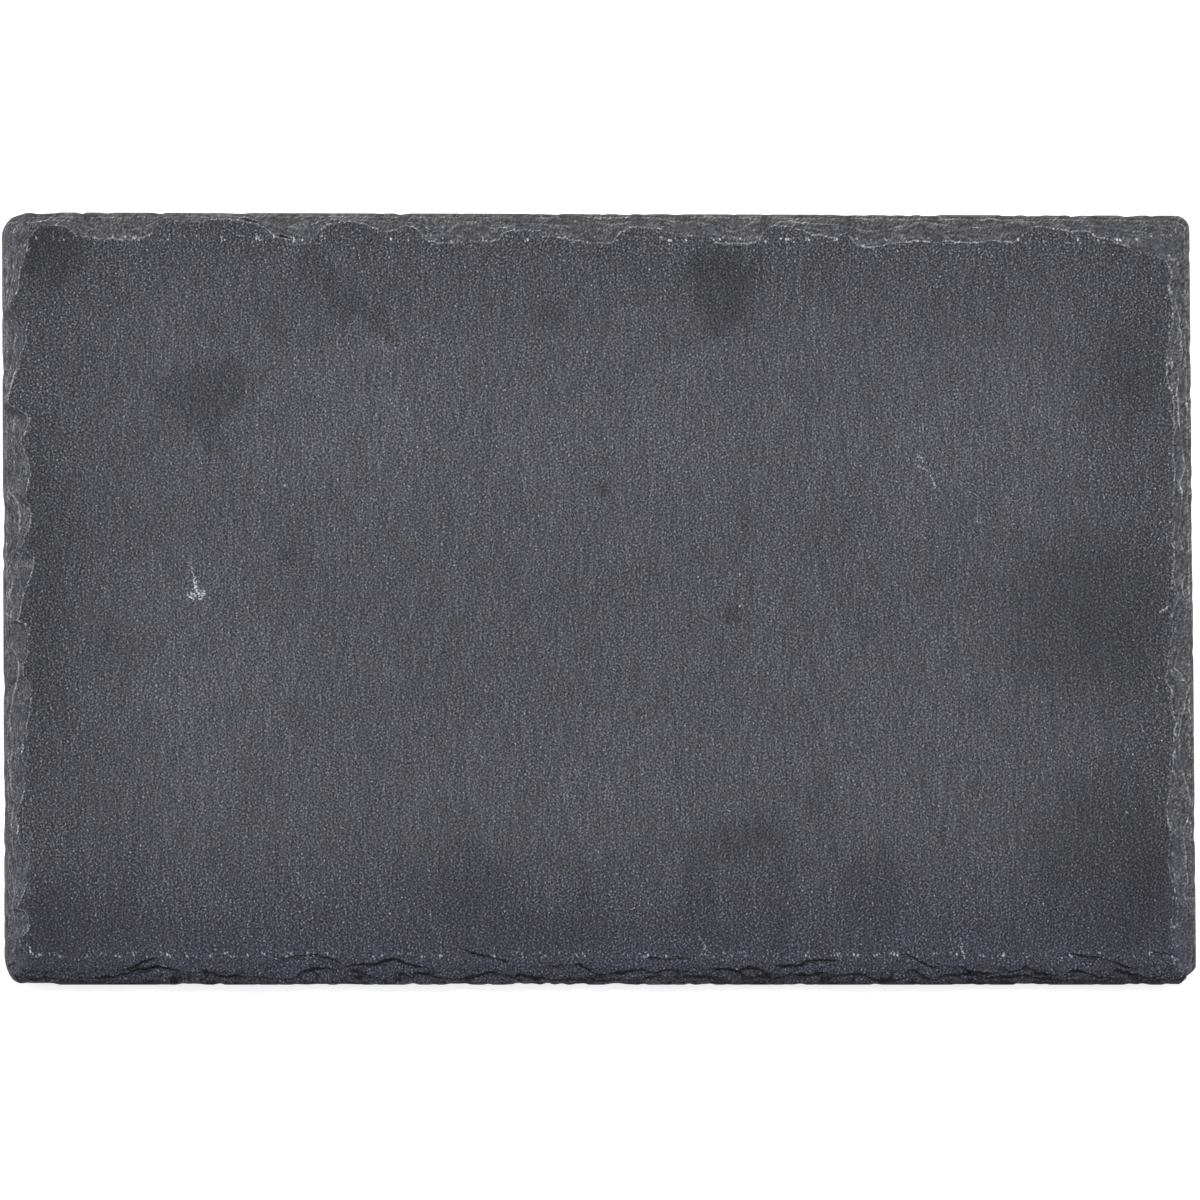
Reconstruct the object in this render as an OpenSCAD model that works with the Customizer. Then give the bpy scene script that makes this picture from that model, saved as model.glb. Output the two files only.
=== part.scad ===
// Slate serving board: a split slab of slate with hand-dressed edges, standing on four stick-on foam feet.
// Millimetres, +Z up. The origin lies on the table under the middle of the board, +X runs along the long
// edge to the right and +Y runs across the board to the back.

/* [Slate slab] */
// Length of the slab across its widest layer
board_length = 310; // [220:5:420]
// Width of the slab across its widest layer
board_width = 200.5; // [140:0.5:300]
// Thickness of the split slate
slate_thickness = 5; // [4:0.5:9]

/* [Hand-cut outline] */
// How far the right edge draws in on its way from the front to the back
right_edge_lean = 1.8; // [0:0.2:4]
// How far the left edge draws in on its way from the back to the front
left_edge_lean = 0.7; // [0:0.1:3]
// How far the back edge draws in on its way from the left to the right
back_edge_lean = 0.9; // [0:0.1:3]
// Size of the front left corner's round
front_left_corner = 5.8; // [3:0.2:9]
// Size of the front right corner's cut
front_right_corner = 4.6; // [3:0.2:9]
// Size of the back right corner's round
back_right_corner = 3.6; // [3:0.2:9]
// Size of the back left corner's round
back_left_corner = 5.2; // [3:0.2:9]

/* [Dressed edge] */
// How far a full flake scar reaches in over the serving face
scar_reach = 8.5; // [5:0.5:12]
// Height of the widest layer above the underside
arris_height = 0.9; // [0.4:0.1:1.5]
// How far the underside stands back from the widest layer
arris_inset = 0.7; // [0.2:0.1:1.5]
// Distance along the edge between the points that shape it
edge_step = 2.5; // [2:0.25:5]

/* [Foam feet] */
// Diameter of a foam foot
foot_diameter = 12; // [8:0.5:16]
// Thickness of a foam foot
foot_thickness = 2; // [1.5:0.25:4]
// Rounding of the foot's lower rim
foot_rim_round = 0.4; // [0.2:0.05:0.7]
// Distance from the slab's edges to the middle of a foot
foot_inset = 22; // [16:1:40]

/* [Adhesive] */
// Thickness of the double-sided film between a foot and the slate
film_thickness = 0.2; // [0.1:0.05:0.5]
// How far the film's rim stays back from the foot's rim
film_margin = 0.3; // [0.1:0.1:1]

/* [Hidden] */
// Corner order everywhere: front left, front right, back right, back left
CORNERS = ["front_left", "front_right", "back_right", "back_left"];
CORNER_SIDES = [[-1, -1], [1, -1], [1, 1], [-1, 1]];

slate_color = [0.35, 0.35, 0.37];
foot_color = [0.07, 0.07, 0.075];
film_color = [0.85, 0.83, 0.76];

// Heights that the stack of film and feet gives
film_bottom = foot_thickness;
slate_bottom = film_bottom + film_thickness;
// Overrun of every cut
overrun = slate_thickness / 5;

// Sizes of the corners, and the power that bends each one: 2 is a full round, 1 a straight cut
corner_sizes = [front_left_corner, front_right_corner, back_right_corner, back_left_corner];
corner_powers = [1.8, 1.25, 1.9, 1.6];
// How far the serving face stands back at each corner, along X and along Y, as shares of scar_reach
corner_reach_shares = [[0.75, 0.75], [0.72, 0.75], [0.62, 1.45], [0.75, 0.6]];
// Length of the stretch where an edge's scars run out into a corner, as a share of the corner's size
corner_run_share = 2.4;

// Flake scars along each edge. Each has its place along the edge as a share of the half edge from its middle,
// half its width as such a share, its reach as a share of scar_reach, and how much deeper it is to one side.
least_reach_share = 0.28;
back_scar_shares = [
    [-0.91, 0.05, 0.40, 0], [-0.81, 0.07, 0.80, 0.2], [-0.72, 0.03, 0.30, 0], [-0.65, 0.05, 0.50, 0],
    [-0.59, 0.03, 0.65, 0], [-0.54, 0.03, 0.80, 0.2], [-0.49, 0.04, 1.00, 0], [-0.43, 0.02, 0.30, 0],
    [-0.37, 0.04, 0.60, 0.2], [-0.32, 0.02, 0.50, 0.2], [-0.26, 0.05, 0.90, 0], [-0.19, 0.03, 0.90, 0],
    [-0.13, 0.04, 0.55, 0], [-0.03, 0.06, 0.95, 0.3], [0.09, 0.07, 0.55, 0.3], [0.22, 0.05, 0.95, 0.2],
    [0.30, 0.04, 0.35, 0], [0.38, 0.04, 0.75, 0], [0.45, 0.04, 0.95, 0], [0.51, 0.04, 0.90, 0],
    [0.62, 0.05, 0.90, 0.2], [0.69, 0.04, 0.90, 0.2], [0.75, 0.02, 0.75, 0], [0.79, 0.05, 0.55, 0],
    [0.94, 0.12, 1.30, 0.4]
];
front_scar_shares = [
    [-0.93, 0.05, 0.30, 0], [-0.83, 0.04, 0.30, 0], [-0.76, 0.04, 0.75, 0.3], [-0.72, 0.03, 0.55, 0],
    [-0.63, 0.04, 0.40, -0.4], [-0.56, 0.04, 0.30, 0], [-0.48, 0.05, 1.00, -0.2], [-0.39, 0.03, 0.65, 0],
    [-0.34, 0.05, 0.85, 0], [-0.28, 0.03, 0.40, -0.3], [-0.23, 0.02, 1.05, -0.4], [-0.19, 0.05, 0.85, -0.4],
    [-0.12, 0.04, 0.40, -0.3], [-0.04, 0.04, 0.80, -0.5], [0.06, 0.05, 0.55, 0.2], [0.12, 0.03, 0.90, 0],
    [0.17, 0.03, 0.50, -0.3], [0.22, 0.03, 0.55, -0.2], [0.26, 0.03, 0.60, -0.3], [0.32, 0.03, 0.60, 0],
    [0.37, 0.04, 0.80, 0], [0.43, 0.04, 0.40, 0], [0.52, 0.05, 0.90, -0.5], [0.60, 0.03, 0.60, 0],
    [0.66, 0.04, 0.35, -0.3], [0.73, 0.04, 0.50, -0.2], [0.83, 0.06, 0.90, -0.4], [0.90, 0.05, 0.50, -0.4],
    [0.95, 0.03, 0.95, 0]
];
left_scar_shares = [
    [0.84, 0.10, 0.60, 0], [0.75, 0.05, 0.45, 0], [0.66, 0.05, 0.70, 0], [0.61, 0.04, 0.50, 0],
    [0.46, 0.05, 0.85, 0], [0.39, 0.04, 0.65, 0], [0.33, 0.05, 0.90, 0], [0.22, 0.06, 0.90, 0],
    [0.10, 0.06, 1.00, 0], [0.02, 0.05, 0.75, 0], [-0.09, 0.06, 0.80, 0], [-0.18, 0.04, 0.60, 0],
    [-0.27, 0.06, 0.90, 0], [-0.37, 0.04, 0.40, 0], [-0.47, 0.08, 0.70, 0], [-0.65, 0.11, 0.85, 0],
    [-0.79, 0.05, 0.55, 0], [-0.85, 0.05, 0.80, 0]
];
right_scar_shares = [
    [0.83, 0.09, 0.60, 0], [0.74, 0.05, 0.50, 0], [0.64, 0.07, 0.55, 0], [0.51, 0.08, 0.50, 0],
    [0.41, 0.06, 0.50, 0], [0.32, 0.06, 0.55, 0], [0.25, 0.03, 0.70, 0], [0.15, 0.07, 0.50, 0],
    [0.07, 0.04, 0.50, 0], [-0.08, 0.06, 0.60, 0], [-0.22, 0.06, 1.05, 0], [-0.35, 0.07, 0.58, 0],
    [-0.44, 0.04, 0.70, 0], [-0.54, 0.07, 0.90, 0], [-0.68, 0.06, 0.75, 0], [-0.76, 0.06, 0.60, 0],
    [-0.87, 0.08, 0.62, 0]
];

// Broken layers between the widest layer and the serving face: the rise above the widest layer as a share
// of the height left there, and the step back as a share of the scars' reach
layer_shares = [[0, 0], [0.30, 0.24], [0.44, 0.31], [0.72, 0.66], [0.82, 0.73]];

// Depth of a scar across its width, from -1 to 1, with its deepest place drawn aside by lean
function scoop(across, lean) = abs(across) < 1 ? sqrt(1 - across * across) * (1 + lean * across) : 0;

// Reach of an edge's scars at a place along it, as a share of scar_reach
function scars_at(scars, place) =
    max(least_reach_share, max([for (scar = scars) scar[2] * scoop((place - scar[0]) / scar[1], scar[3])]));

// Eased step from 0 to 1
function ease(share) = let (part = min(1, max(0, share))) part * part * (3 - 2 * part);

// Which corner a place on the outline belongs to, counted as in CORNERS
function corner_of(place) = place[1] < 0 ? (place[0] < 0 ? 0 : 1) : (place[0] < 0 ? 3 : 2);

// Reach along an edge, run out into the corner's own reach near its end
function edge_reach(scars, along, half_edge, corner, corner_share) =
    let (
        size = corner_sizes[corner],
        run = size * corner_run_share,
        left_over = (1 - abs(along)) * half_edge,
        blend = ease((run - left_over) / (run - size))
    )
    scar_reach * (scars_at(scars, along) * (1 - blend) + corner_share * blend);

// Steps back along X and along Y at a place on the outline, for the serving face
function step_back(place) =
    let (corner = corner_of(place), shares = corner_reach_shares[corner])
    abs(place[1]) == 1
        ? [
            shares[0] * scar_reach,
            edge_reach(place[1] > 0 ? back_scar_shares : front_scar_shares,
                place[0], board_length / 2, corner, shares[1])
        ]
        : [
            edge_reach(place[0] > 0 ? right_scar_shares : left_scar_shares,
                place[1], board_width / 2, corner, shares[0]),
            shares[1] * scar_reach
        ];

// Half length and half width of the outline at a place on it, with each edge's lean taken off
function half_sizes(place) = [
    board_length / 2 - (place[0] > 0 ? right_edge_lean * (1 + place[1]) : left_edge_lean * (1 - place[1])) / 2,
    board_width / 2 - (place[1] > 0 ? back_edge_lean * (1 + place[0]) / 2 : 0)
];

// A point in a corner, drawn in from the square corner to its round or cut
function turned(half, point, size, power) =
    let (
        core = [half[0] - size, half[1] - size],
        out = [max(0, abs(point[0]) - core[0]), max(0, abs(point[1]) - core[1])],
        span = pow(pow(out[0], power) + pow(out[1], power), 1 / power)
    )
    out[0] > 0 && out[1] > 0
        ? [
            (core[0] + out[0] * size / span) * sign(point[0]),
            (core[1] + out[1] * size / span) * sign(point[1])
        ]
        : point;

// Point of a layer at a place on the outline, stepped back by inset
function layer_point(place, inset) =
    let (
        corner = corner_of(place),
        sides = CORNER_SIDES[corner],
        half = half_sizes(place) - inset,
        corner_half = half_sizes(sides) - inset,
        point = [place[0] * half[0], place[1] * half[1]]
    )
    turned(corner_half, point, corner_sizes[corner], corner_powers[corner]);

// Places round the outline, counter-clockwise from the front left corner, as shares of the half sizes
long_steps = ceil(board_length / edge_step);
short_steps = ceil(board_width / edge_step);
function along_edge(steps) = [for (step = [0 : steps - 1]) -1 + 2 * step / steps];
places = concat(
    [for (share = along_edge(long_steps)) [share, -1]],
    [for (share = along_edge(short_steps)) [1, share]],
    [for (share = along_edge(long_steps)) [-share, 1]],
    [for (share = along_edge(short_steps)) [-1, -share]]
);
face_steps = [for (place = places) step_back(place)];
place_count = len(places);

// Layers from below the underside to above the serving face, each a height and a share of step back.
// The first and last run past the cuts that leave the two split faces flat.
top_layer = layer_shares[len(layer_shares) - 1];
rise_height = slate_thickness - arris_height;
last_slope = (1 - top_layer[1]) / (rise_height * (1 - top_layer[0]));
underside_share = arris_inset * (arris_height + overrun) / arris_height / scar_reach;
slab_layers = concat(
    [[-overrun, underside_share]],
    [for (layer = layer_shares) [arris_height + layer[0] * rise_height, layer[1]]],
    [[slate_thickness + overrun, 1 + last_slope * overrun]]
);
layer_count = len(slab_layers);

slab_points = concat(
    [for (index = [0 : layer_count - 1], at = [0 : place_count - 1])
        let (
            layer = slab_layers[index],
            inset = index == 0 ? [1, 1] * layer[1] * scar_reach : face_steps[at] * layer[1]
        )
        concat(layer_point(places[at], inset), layer[0])],
    [[0, 0, slab_layers[0][0]], [0, 0, slab_layers[layer_count - 1][0]]]
);
low_middle = layer_count * place_count;
high_middle = low_middle + 1;

// Two triangles for each step along each layer, and a fan over each end
function after(at) = (at + 1) % place_count;
slab_faces = concat(
    [for (index = [0 : layer_count - 2], at = [0 : place_count - 1], half = [0, 1])
        let (
            low = index * place_count,
            high = low + place_count
        )
        half == 0 ? [low + at, high + at, low + after(at)] : [low + after(at), high + at, high + after(at)]],
    [for (at = [0 : place_count - 1]) [low_middle, at, after(at)]],
    [for (at = [0 : place_count - 1])
        let (high = (layer_count - 1) * place_count) [high_middle, high + after(at), high + at]]
);

// Slate slab between its two flat split faces
module slate_slab() {
    color(slate_color)
        translate([0, 0, slate_bottom])
            intersection() {
                polyhedron(points = slab_points, faces = slab_faces);
                translate([-board_length, -board_width, 0])
                    cube([2 * board_length, 2 * board_width, slate_thickness]);
            }
}

// Middle of a foot under the corner that sides names
function foot_place(sides) = [
    sides[0] * (board_length / 2 - foot_inset),
    sides[1] * (board_width / 2 - foot_inset),
    0
];

// Half outline of a foam foot: flat top, straight wall and a rounded lower rim
rim_steps = 6;
foot_outline = concat(
    [[0, foot_thickness], [0, 0]],
    [for (step = [0 : rim_steps])
        let (angle = 90 * step / rim_steps)
        [foot_diameter / 2 - foot_rim_round * (1 - sin(angle)), foot_rim_round * (1 - cos(angle))]],
    [[foot_diameter / 2, foot_thickness]]
);

// Die-cut foam foot
module foot_pad(sides) {
    color(foot_color)
        translate(foot_place(sides))
            rotate_extrude($fn = 72)
                polygon(foot_outline);
}

// Double-sided film that holds a foot to the slate
module adhesive_disc(sides) {
    color(film_color)
        translate(foot_place(sides) + [0, 0, film_bottom])
            cylinder(d = foot_diameter - 2 * film_margin, h = film_thickness, $fn = 72);
}

slate_slab();
for (corner = [0 : len(CORNERS) - 1]) {
    foot_pad(CORNER_SIDES[corner]);
    adhesive_disc(CORNER_SIDES[corner]);
}
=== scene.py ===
"""Looks of a slate serving board: a split slab with hand-dressed edges on four stick-on foam feet.

Every length is in metres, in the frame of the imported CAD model: the origin lies on the table under the middle
of the board, +X runs along the long edge, +Y across the board to the back and +Z up.
"""

import logging
import math
from dataclasses import dataclass
from enum import Enum

import bpy
import numpy as np
from bpy.types import Material, Mesh, Node, NodeSocket, NodeTree, Object
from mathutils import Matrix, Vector


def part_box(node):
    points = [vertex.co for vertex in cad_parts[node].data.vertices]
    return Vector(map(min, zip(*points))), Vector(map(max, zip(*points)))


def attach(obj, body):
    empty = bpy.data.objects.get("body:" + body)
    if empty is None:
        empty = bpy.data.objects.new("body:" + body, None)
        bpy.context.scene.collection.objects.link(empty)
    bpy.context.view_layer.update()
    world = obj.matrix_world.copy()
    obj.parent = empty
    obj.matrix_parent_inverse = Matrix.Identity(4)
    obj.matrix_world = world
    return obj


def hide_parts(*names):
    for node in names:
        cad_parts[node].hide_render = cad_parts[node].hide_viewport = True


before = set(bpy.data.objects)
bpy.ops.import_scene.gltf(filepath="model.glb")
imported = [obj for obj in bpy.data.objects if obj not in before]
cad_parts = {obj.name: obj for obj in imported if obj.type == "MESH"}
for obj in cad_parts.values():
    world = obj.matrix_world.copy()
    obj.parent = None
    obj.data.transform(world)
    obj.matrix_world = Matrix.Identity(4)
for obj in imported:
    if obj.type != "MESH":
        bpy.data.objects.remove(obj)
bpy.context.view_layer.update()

LOG = logging.getLogger("slate_board")
MM = 0.001
ROOT_BODY = "root"
BAKE_UV = "OFBake"

Array = np.ndarray
Pair = tuple[float, float]
Pairs = tuple[Pair, ...]
Triple = tuple[float, float, float]
Colour = Triple
Ends = tuple[float, float, float, float]
Inputs = dict[str | int, object]


class Edge(Enum):
    """The four edges of the board, in the order in which its outline runs."""

    FRONT = "front"
    RIGHT = "right"
    BACK = "back"
    LEFT = "left"


class Corner(Enum):
    """The four corners, each with the signs of its X and Y."""

    FRONT_LEFT = (-1, -1)
    FRONT_RIGHT = (1, -1)
    BACK_RIGHT = (1, 1)
    BACK_LEFT = (-1, 1)

    @property
    def node_suffix(self) -> str:
        """Ending of the names of the CAD nodes under this corner."""
        return self.name.lower()


# Listed edges of the broken layers

Spots = tuple[Triple, ...]
TENTHS = 10


@dataclass(frozen=True)
class LayerEdge:
    """The broken edge of one layer of the stone, along one edge of the board.

    Args:
        spots: places on it, in order along the edge. Each has its place along the board's edge in millimetres,
            and in tenths its distance in from the outline in millimetres, and how boldly the layer has broken
            there, from 0 to 1.
    """

    spots: Spots

    def at(self, along: Array) -> tuple[Array, Array, Array]:
        """Follows the layer's edge.

        Args:
            along: places along the board's edge, in metres.

        Returns:
            The distance in from the outline at each place, its slope, and how bold the break is there.
        """
        places, gaps, bold = np.array(self.spots).T / [[1], [TENTHS], [TENTHS]]
        step = 0.25
        here = along / MM
        ahead, behind = np.interp(here + step, places, gaps), np.interp(here - step, places, gaps)
        return np.interp(here, places, gaps) * MM, (ahead - behind) / (2 * step), np.interp(here, places, bold)


LAYER_EDGES: dict[Edge, tuple[LayerEdge, LayerEdge, LayerEdge]] = {
    Edge.FRONT: (LayerEdge((
        (-152, 14, 2), (-146, 20, 3), (-143, 22, 5), (-138, 17, 4), (-134, 16, 1), (-130, 21, 6), (-125, 25, 9),
        (-122, 32, 10), (-120.5, 41, 10), (-117, 46, 10), (-114.5, 50, 10), (-112, 46, 9), (-109.5, 42, 4),
        (-106, 30, 1), (-103.2, 38, 3), (-102.2, 41, 8), (-100, 33, 10), (-98.5, 25, 10), (-96.5, 24, 10),
        (-93.5, 27, 8), (-91, 22, 3), (-87, 24, 6), (-83, 16, 3), (-78.5, 22, 3), (-76.5, 37, 8), (-74, 43, 9),
        (-70.5, 47, 6), (-67.5, 44, 2), (-65, 45, 3), (-64, 42, 7), (-62, 34, 6), (-59, 22, 3), (-55, 18, 2),
        (-52.5, 35, 3), (-51.5, 36, 6), (-49.5, 26, 7), (-48.4, 19, 5), (-47.6, 33, 7), (-44.5, 30, 9), (-42.5, 24, 9),
        (-40, 17, 4), (-36, 15, 5), (-32, 24, 9), (-29.5, 32, 9), (-27.5, 37, 7), (-26, 31, 6), (-24, 28, 7),
        (-21.9, 21, 5), (-21, 32, 9), (-19, 27, 9), (-17, 23, 9), (-15.5, 20, 6), (-12, 15, 2), (-9, 15, 5),
        (-5.5, 16, 5), (-3, 18, 4), (0, 14, 3), (5, 15, 3), (11, 16, 4), (14, 26, 5), (16, 24, 3), (21, 22, 3),
        (22.5, 26, 8), (26, 27, 10), (28.5, 23, 9), (30.5, 16, 6), (34, 13, 3), (35.8, 29, 3), (36.6, 34, 9),
        (38.2, 23, 9), (39.2, 19, 8), (40, 21, 9), (42, 24, 9), (44, 22, 9), (45, 16, 8), (47.5, 24, 8), (50, 28, 10),
        (54, 28, 10), (56, 33, 9), (59, 33, 6), (60.5, 27, 7), (63, 28, 6), (66, 32, 7), (69, 27, 6), (70.5, 18, 8),
        (72.5, 14, 7), (76, 15, 5), (79, 20, 2), (80.3, 42, 6), (82.5, 34, 9), (84.5, 22, 8), (86.5, 16, 3),
        (89.5, 28, 6), (93, 29, 8), (96, 30, 9), (98.5, 25, 6), (101, 21, 7), (104, 21, 10), (107, 24, 10),
        (110, 27, 10), (112, 24, 9), (114, 20, 9), (118, 16, 8), (121, 12, 5), (124, 16, 3), (128, 14, 3), (131, 13, 5),
        (135, 19, 3), (139, 16, 3), (143, 17, 6), (147, 14, 3), (151, 14, 3),
    )), LayerEdge((
        (-152, 36, 1), (-140, 42, 0), (-130, 44, 0), (-124, 41, 2), (-121, 49, 9), (-119.5, 54, 9), (-118, 61, 9),
        (-116, 69, 7), (-113.5, 72, 1), (-105, 60, 0), (-95, 52, 0), (-88, 58, 0), (-84, 66, 1), (-80.5, 76, 5),
        (-78, 83, 7), (-74, 81, 8), (-70.5, 74, 9), (-68.5, 70, 8), (-67.3, 62, 5), (-66, 53, 3), (-65, 51, 7),
        (-62, 57, 9), (-58, 56, 9), (-55.5, 66, 10), (-53, 70, 10), (-51.3, 65, 9), (-49.5, 58, 9), (-46.5, 51, 8),
        (-44, 47, 1), (-40, 44, 0), (-30, 52, 0), (-20, 46, 0), (-13, 52, 3), (-11, 52, 3), (-7, 55, 2), (-5, 54, 7),
        (-3.5, 47, 9), (-2, 37, 10), (0, 30, 10), (2.5, 29, 9), (5.5, 34, 9), (9, 41, 9), (11.5, 44, 8), (12.6, 38, 5),
        (14, 34, 3), (16, 38, 6), (19, 40, 7), (22.3, 39, 5), (26, 41, 1), (29.3, 42, 2), (30.5, 44, 9), (34, 42, 10),
        (36.2, 38, 10), (36.9, 46, 8), (39, 48, 9), (41.5, 43, 9), (43, 34, 9), (44.3, 29, 7), (45.2, 40, 1),
        (46, 50, 8), (49, 51, 9), (52, 54, 10), (53.8, 65, 10), (55.5, 67, 10), (58, 66, 9), (60, 67, 7), (62, 64, 1),
        (70, 62, 0), (80, 59, 0), (88, 42, 1), (91.5, 51, 4), (94, 51, 5), (95.3, 39, 9), (98.5, 35, 10),
        (100.5, 30, 9), (103, 34, 2), (104, 50, 5), (105.5, 42, 6), (107, 36, 5), (109, 42, 3), (110, 51, 6),
        (112, 43, 6), (113.2, 35, 7), (116, 31, 9), (118, 26, 7), (120.5, 29, 2), (122.3, 38, 9), (124.5, 39, 10),
        (127.5, 30, 9), (129.5, 22, 8), (131, 20, 6), (132.4, 29, 2), (133.5, 41, 7), (136, 34, 9), (139, 29, 9),
        (141, 22, 8), (144, 24, 2), (151, 36, 1),
    )), LayerEdge((
        (-149, 68, 2.5), (-140, 80, 0), (-60, 86, 0), (-45, 80, 0), (-38, 92, 1), (-36, 97, 3), (-34.5, 93, 6),
        (-32.5, 86, 9), (-30, 79, 9), (-27.5, 71, 9), (-25.5, 69, 8), (-23.8, 63, 6), (-22, 63, 1), (-10, 74, 0),
        (4, 76, 0), (12, 70, 1), (13.3, 71, 6), (15, 73, 7), (17, 70, 5), (20, 75, 8), (22, 71, 7), (24, 68, 1),
        (40, 75, 0), (65, 82, 0), (76, 83, 1), (79, 83, 8), (82, 70, 9), (84.5, 57, 9), (86.7, 49, 8), (88.5, 50, 2),
        (92, 62, 0), (105, 74, 0), (120, 82, 1), (123.3, 83, 6), (126, 77, 7), (130, 72, 7), (133, 62, 9), (135, 54, 9),
        (137, 46, 9), (138.5, 43, 5), (140.5, 48, 1), (142.5, 83, 3), (145, 86, 4), (148, 70, 2),
    ))),
    Edge.RIGHT: (LayerEdge((
        (-98.5, 14, 3), (0, 11, 5), (98.5, 15, 4),
    )), LayerEdge((
        (-96.4, 36, 1), (-88, 32, 3), (-80, 24, 4), (-76, 34, 6), (-73, 20, 5), (-66, 26, 5), (-61, 32, 3),
        (-56, 16, 4), (-52, 15, 6), (-48.5, 20, 9), (-46.3, 28, 10), (-44.3, 34, 10), (-40.3, 40, 10), (-36, 42, 8),
        (-32, 36, 4), (-26, 20, 4), (-23, 14, 6), (-21.5, 24, 9), (-19, 40, 9), (-18, 52, 8), (-15, 46, 3),
        (-10, 30, 3), (-4, 22, 3), (-0.6, 14, 6), (0.8, 28, 8), (3, 31, 8), (5, 23, 7), (7, 15, 3), (12, 26, 4),
        (17, 38, 4), (22, 30, 3), (27, 28, 5), (30, 34, 5), (34, 19, 7), (38.5, 25, 8), (44.5, 32, 8), (49.5, 36, 8),
        (53.5, 39, 8), (58, 32, 3), (64, 24, 3), (69.5, 29, 7), (73.5, 33, 7), (77.5, 42, 7), (80, 36, 3), (86, 32, 3),
        (90, 42, 3), (95.2, 50, 3),
    )), LayerEdge((
        (-93, 70, 2), (-90, 64, 4), (-86, 68, 5), (-83.3, 67, 5), (-81.3, 55, 4), (-78.3, 52, 5), (-74.3, 58, 4),
        (-71.3, 69, 4), (-68.3, 74, 5), (-64.3, 70, 4), (-60.3, 64, 4), (-57.3, 74, 7), (-54.3, 75, 9), (-51.3, 71, 9),
        (-48.3, 65, 8), (-45.3, 60, 5), (-41, 57, 5), (-34.3, 55, 5), (-33, 49, 4), (-30, 56, 4), (-27, 61, 5),
        (-24, 59, 5), (-22, 71, 6), (-20, 76, 6), (-18, 69, 5), (-15, 67, 4), (-12, 62, 5), (-9, 56, 4), (-4, 54, 4),
        (0, 45, 3), (3, 47, 4), (6, 56, 5), (8, 51, 5), (12, 50, 4), (15, 56, 5), (18, 51, 5), (22, 49, 6), (25, 54, 5),
        (28, 48, 4), (33, 46, 4), (37.5, 50, 4), (40.5, 49, 5), (44.5, 46, 5), (48.5, 48, 4), (52.5, 51, 5),
        (55.5, 60, 6), (59.5, 66, 5), (63.5, 63, 4), (67.5, 59, 4), (70.5, 50, 5), (73.5, 48, 6), (76.5, 50, 5),
        (78.5, 56, 4), (81.5, 55, 4), (85.5, 52, 5), (87.8, 68, 7), (89.3, 107, 9),
    ))),
    Edge.BACK: (LayerEdge((
        (-153, 14, 4), (-60, 10, 5), (60, 11, 5), (152, 15, 4),
    )), LayerEdge((
        (-152, 30, 4), (-146, 28, 5), (-141, 21, 4), (-136, 24, 3), (-131, 45, 2), (-126, 49, 2), (-120, 44, 3),
        (-116, 32, 4), (-113, 16, 5), (-105, 17, 3), (-99, 12, 3), (-92, 15, 4), (-87, 24, 3), (-82, 34, 3),
        (-77, 42, 3), (-73.5, 28, 4), (-70, 16, 6), (-66, 16, 3), (-60, 20, 4), (-55, 23, 5), (-51, 23, 3),
        (-46, 28, 4), (-43, 46, 3), (-39, 48, 3), (-36, 23, 4), (-33, 24, 5), (-30, 30, 5), (-27, 40, 6), (-24, 36, 4),
        (-20, 29, 5), (-16, 28, 5), (-10, 32, 4), (-6, 33, 5), (-2, 24, 4), (2, 30, 6), (5, 26, 5), (9, 22, 5),
        (14, 16, 4), (18, 17, 4), (22, 22, 5), (26, 21, 3), (30, 32, 4), (33, 38, 6), (35, 49, 5), (38, 31, 3),
        (40, 19, 6), (42, 15, 6), (45, 19, 5), (48, 21, 5), (52, 20, 6), (57, 26, 5), (62, 29, 4), (66, 34, 6),
        (70, 46, 4), (76, 36, 3), (84, 20, 4), (92, 30, 3), (100, 36, 3), (107, 19, 5), (111, 20, 5), (115, 18, 4),
        (119, 25, 5), (122, 33, 4), (127, 26, 4), (131, 31, 4), (137, 42, 3), (149, 50, 3),
    )), LayerEdge((
        (-148, 72, 8), (-146.5, 56, 6), (-144.5, 36, 5), (-141, 36, 6), (-138, 40, 5), (-136, 55, 5), (-134.5, 63, 6),
        (-130, 68, 9), (-126, 69, 9), (-122, 71, 9), (-118, 68, 7), (-115.8, 56, 5), (-114.5, 32, 3), (-113, 24, 4),
        (-110, 24, 4), (-105, 26, 6), (-99, 19, 5), (-94, 20, 4), (-91.5, 23, 7), (-89.3, 29, 6), (-87, 39, 4),
        (-85.5, 50, 5), (-84, 63, 5), (-80, 72, 7), (-77.5, 82, 5), (-75, 80, 7), (-74, 64, 3), (-72.5, 50, 3),
        (-70.5, 32, 4), (-67, 23, 4), (-63, 26, 3), (-60, 34, 4), (-57, 46, 5), (-54.5, 52, 5), (-52.5, 46, 3),
        (-50, 33, 3), (-48, 38, 4), (-46.3, 49, 5), (-45.5, 66, 5), (-44, 75, 6), (-41, 78, 8), (-38, 78, 8),
        (-35, 75, 7), (-31, 72, 7), (-28, 75, 6), (-26, 71, 5), (-25, 52, 3), (-22, 46, 4), (-18, 45, 5), (-15, 46, 5),
        (-13, 53, 4), (-11.5, 62, 4), (-8, 66, 4), (-5, 72, 5), (-2, 77, 6), (1, 78, 6), (3.5, 75, 6), (4.4, 63, 8),
        (5.5, 51, 9), (7.5, 40, 8), (10, 35, 6), (13, 36, 8), (16, 41, 7), (18, 49, 4), (20, 55, 4), (24, 58, 3),
        (27, 59, 3), (29, 65, 4), (30.3, 75, 6), (34, 78, 8), (38, 78, 7), (41, 71, 5), (42.3, 56, 4), (43.5, 39, 4),
        (45, 30, 7), (47, 33, 5), (50, 35, 3), (53, 44, 4), (55, 55, 6), (57, 54, 5), (60, 63, 5), (62, 59, 5),
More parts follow.
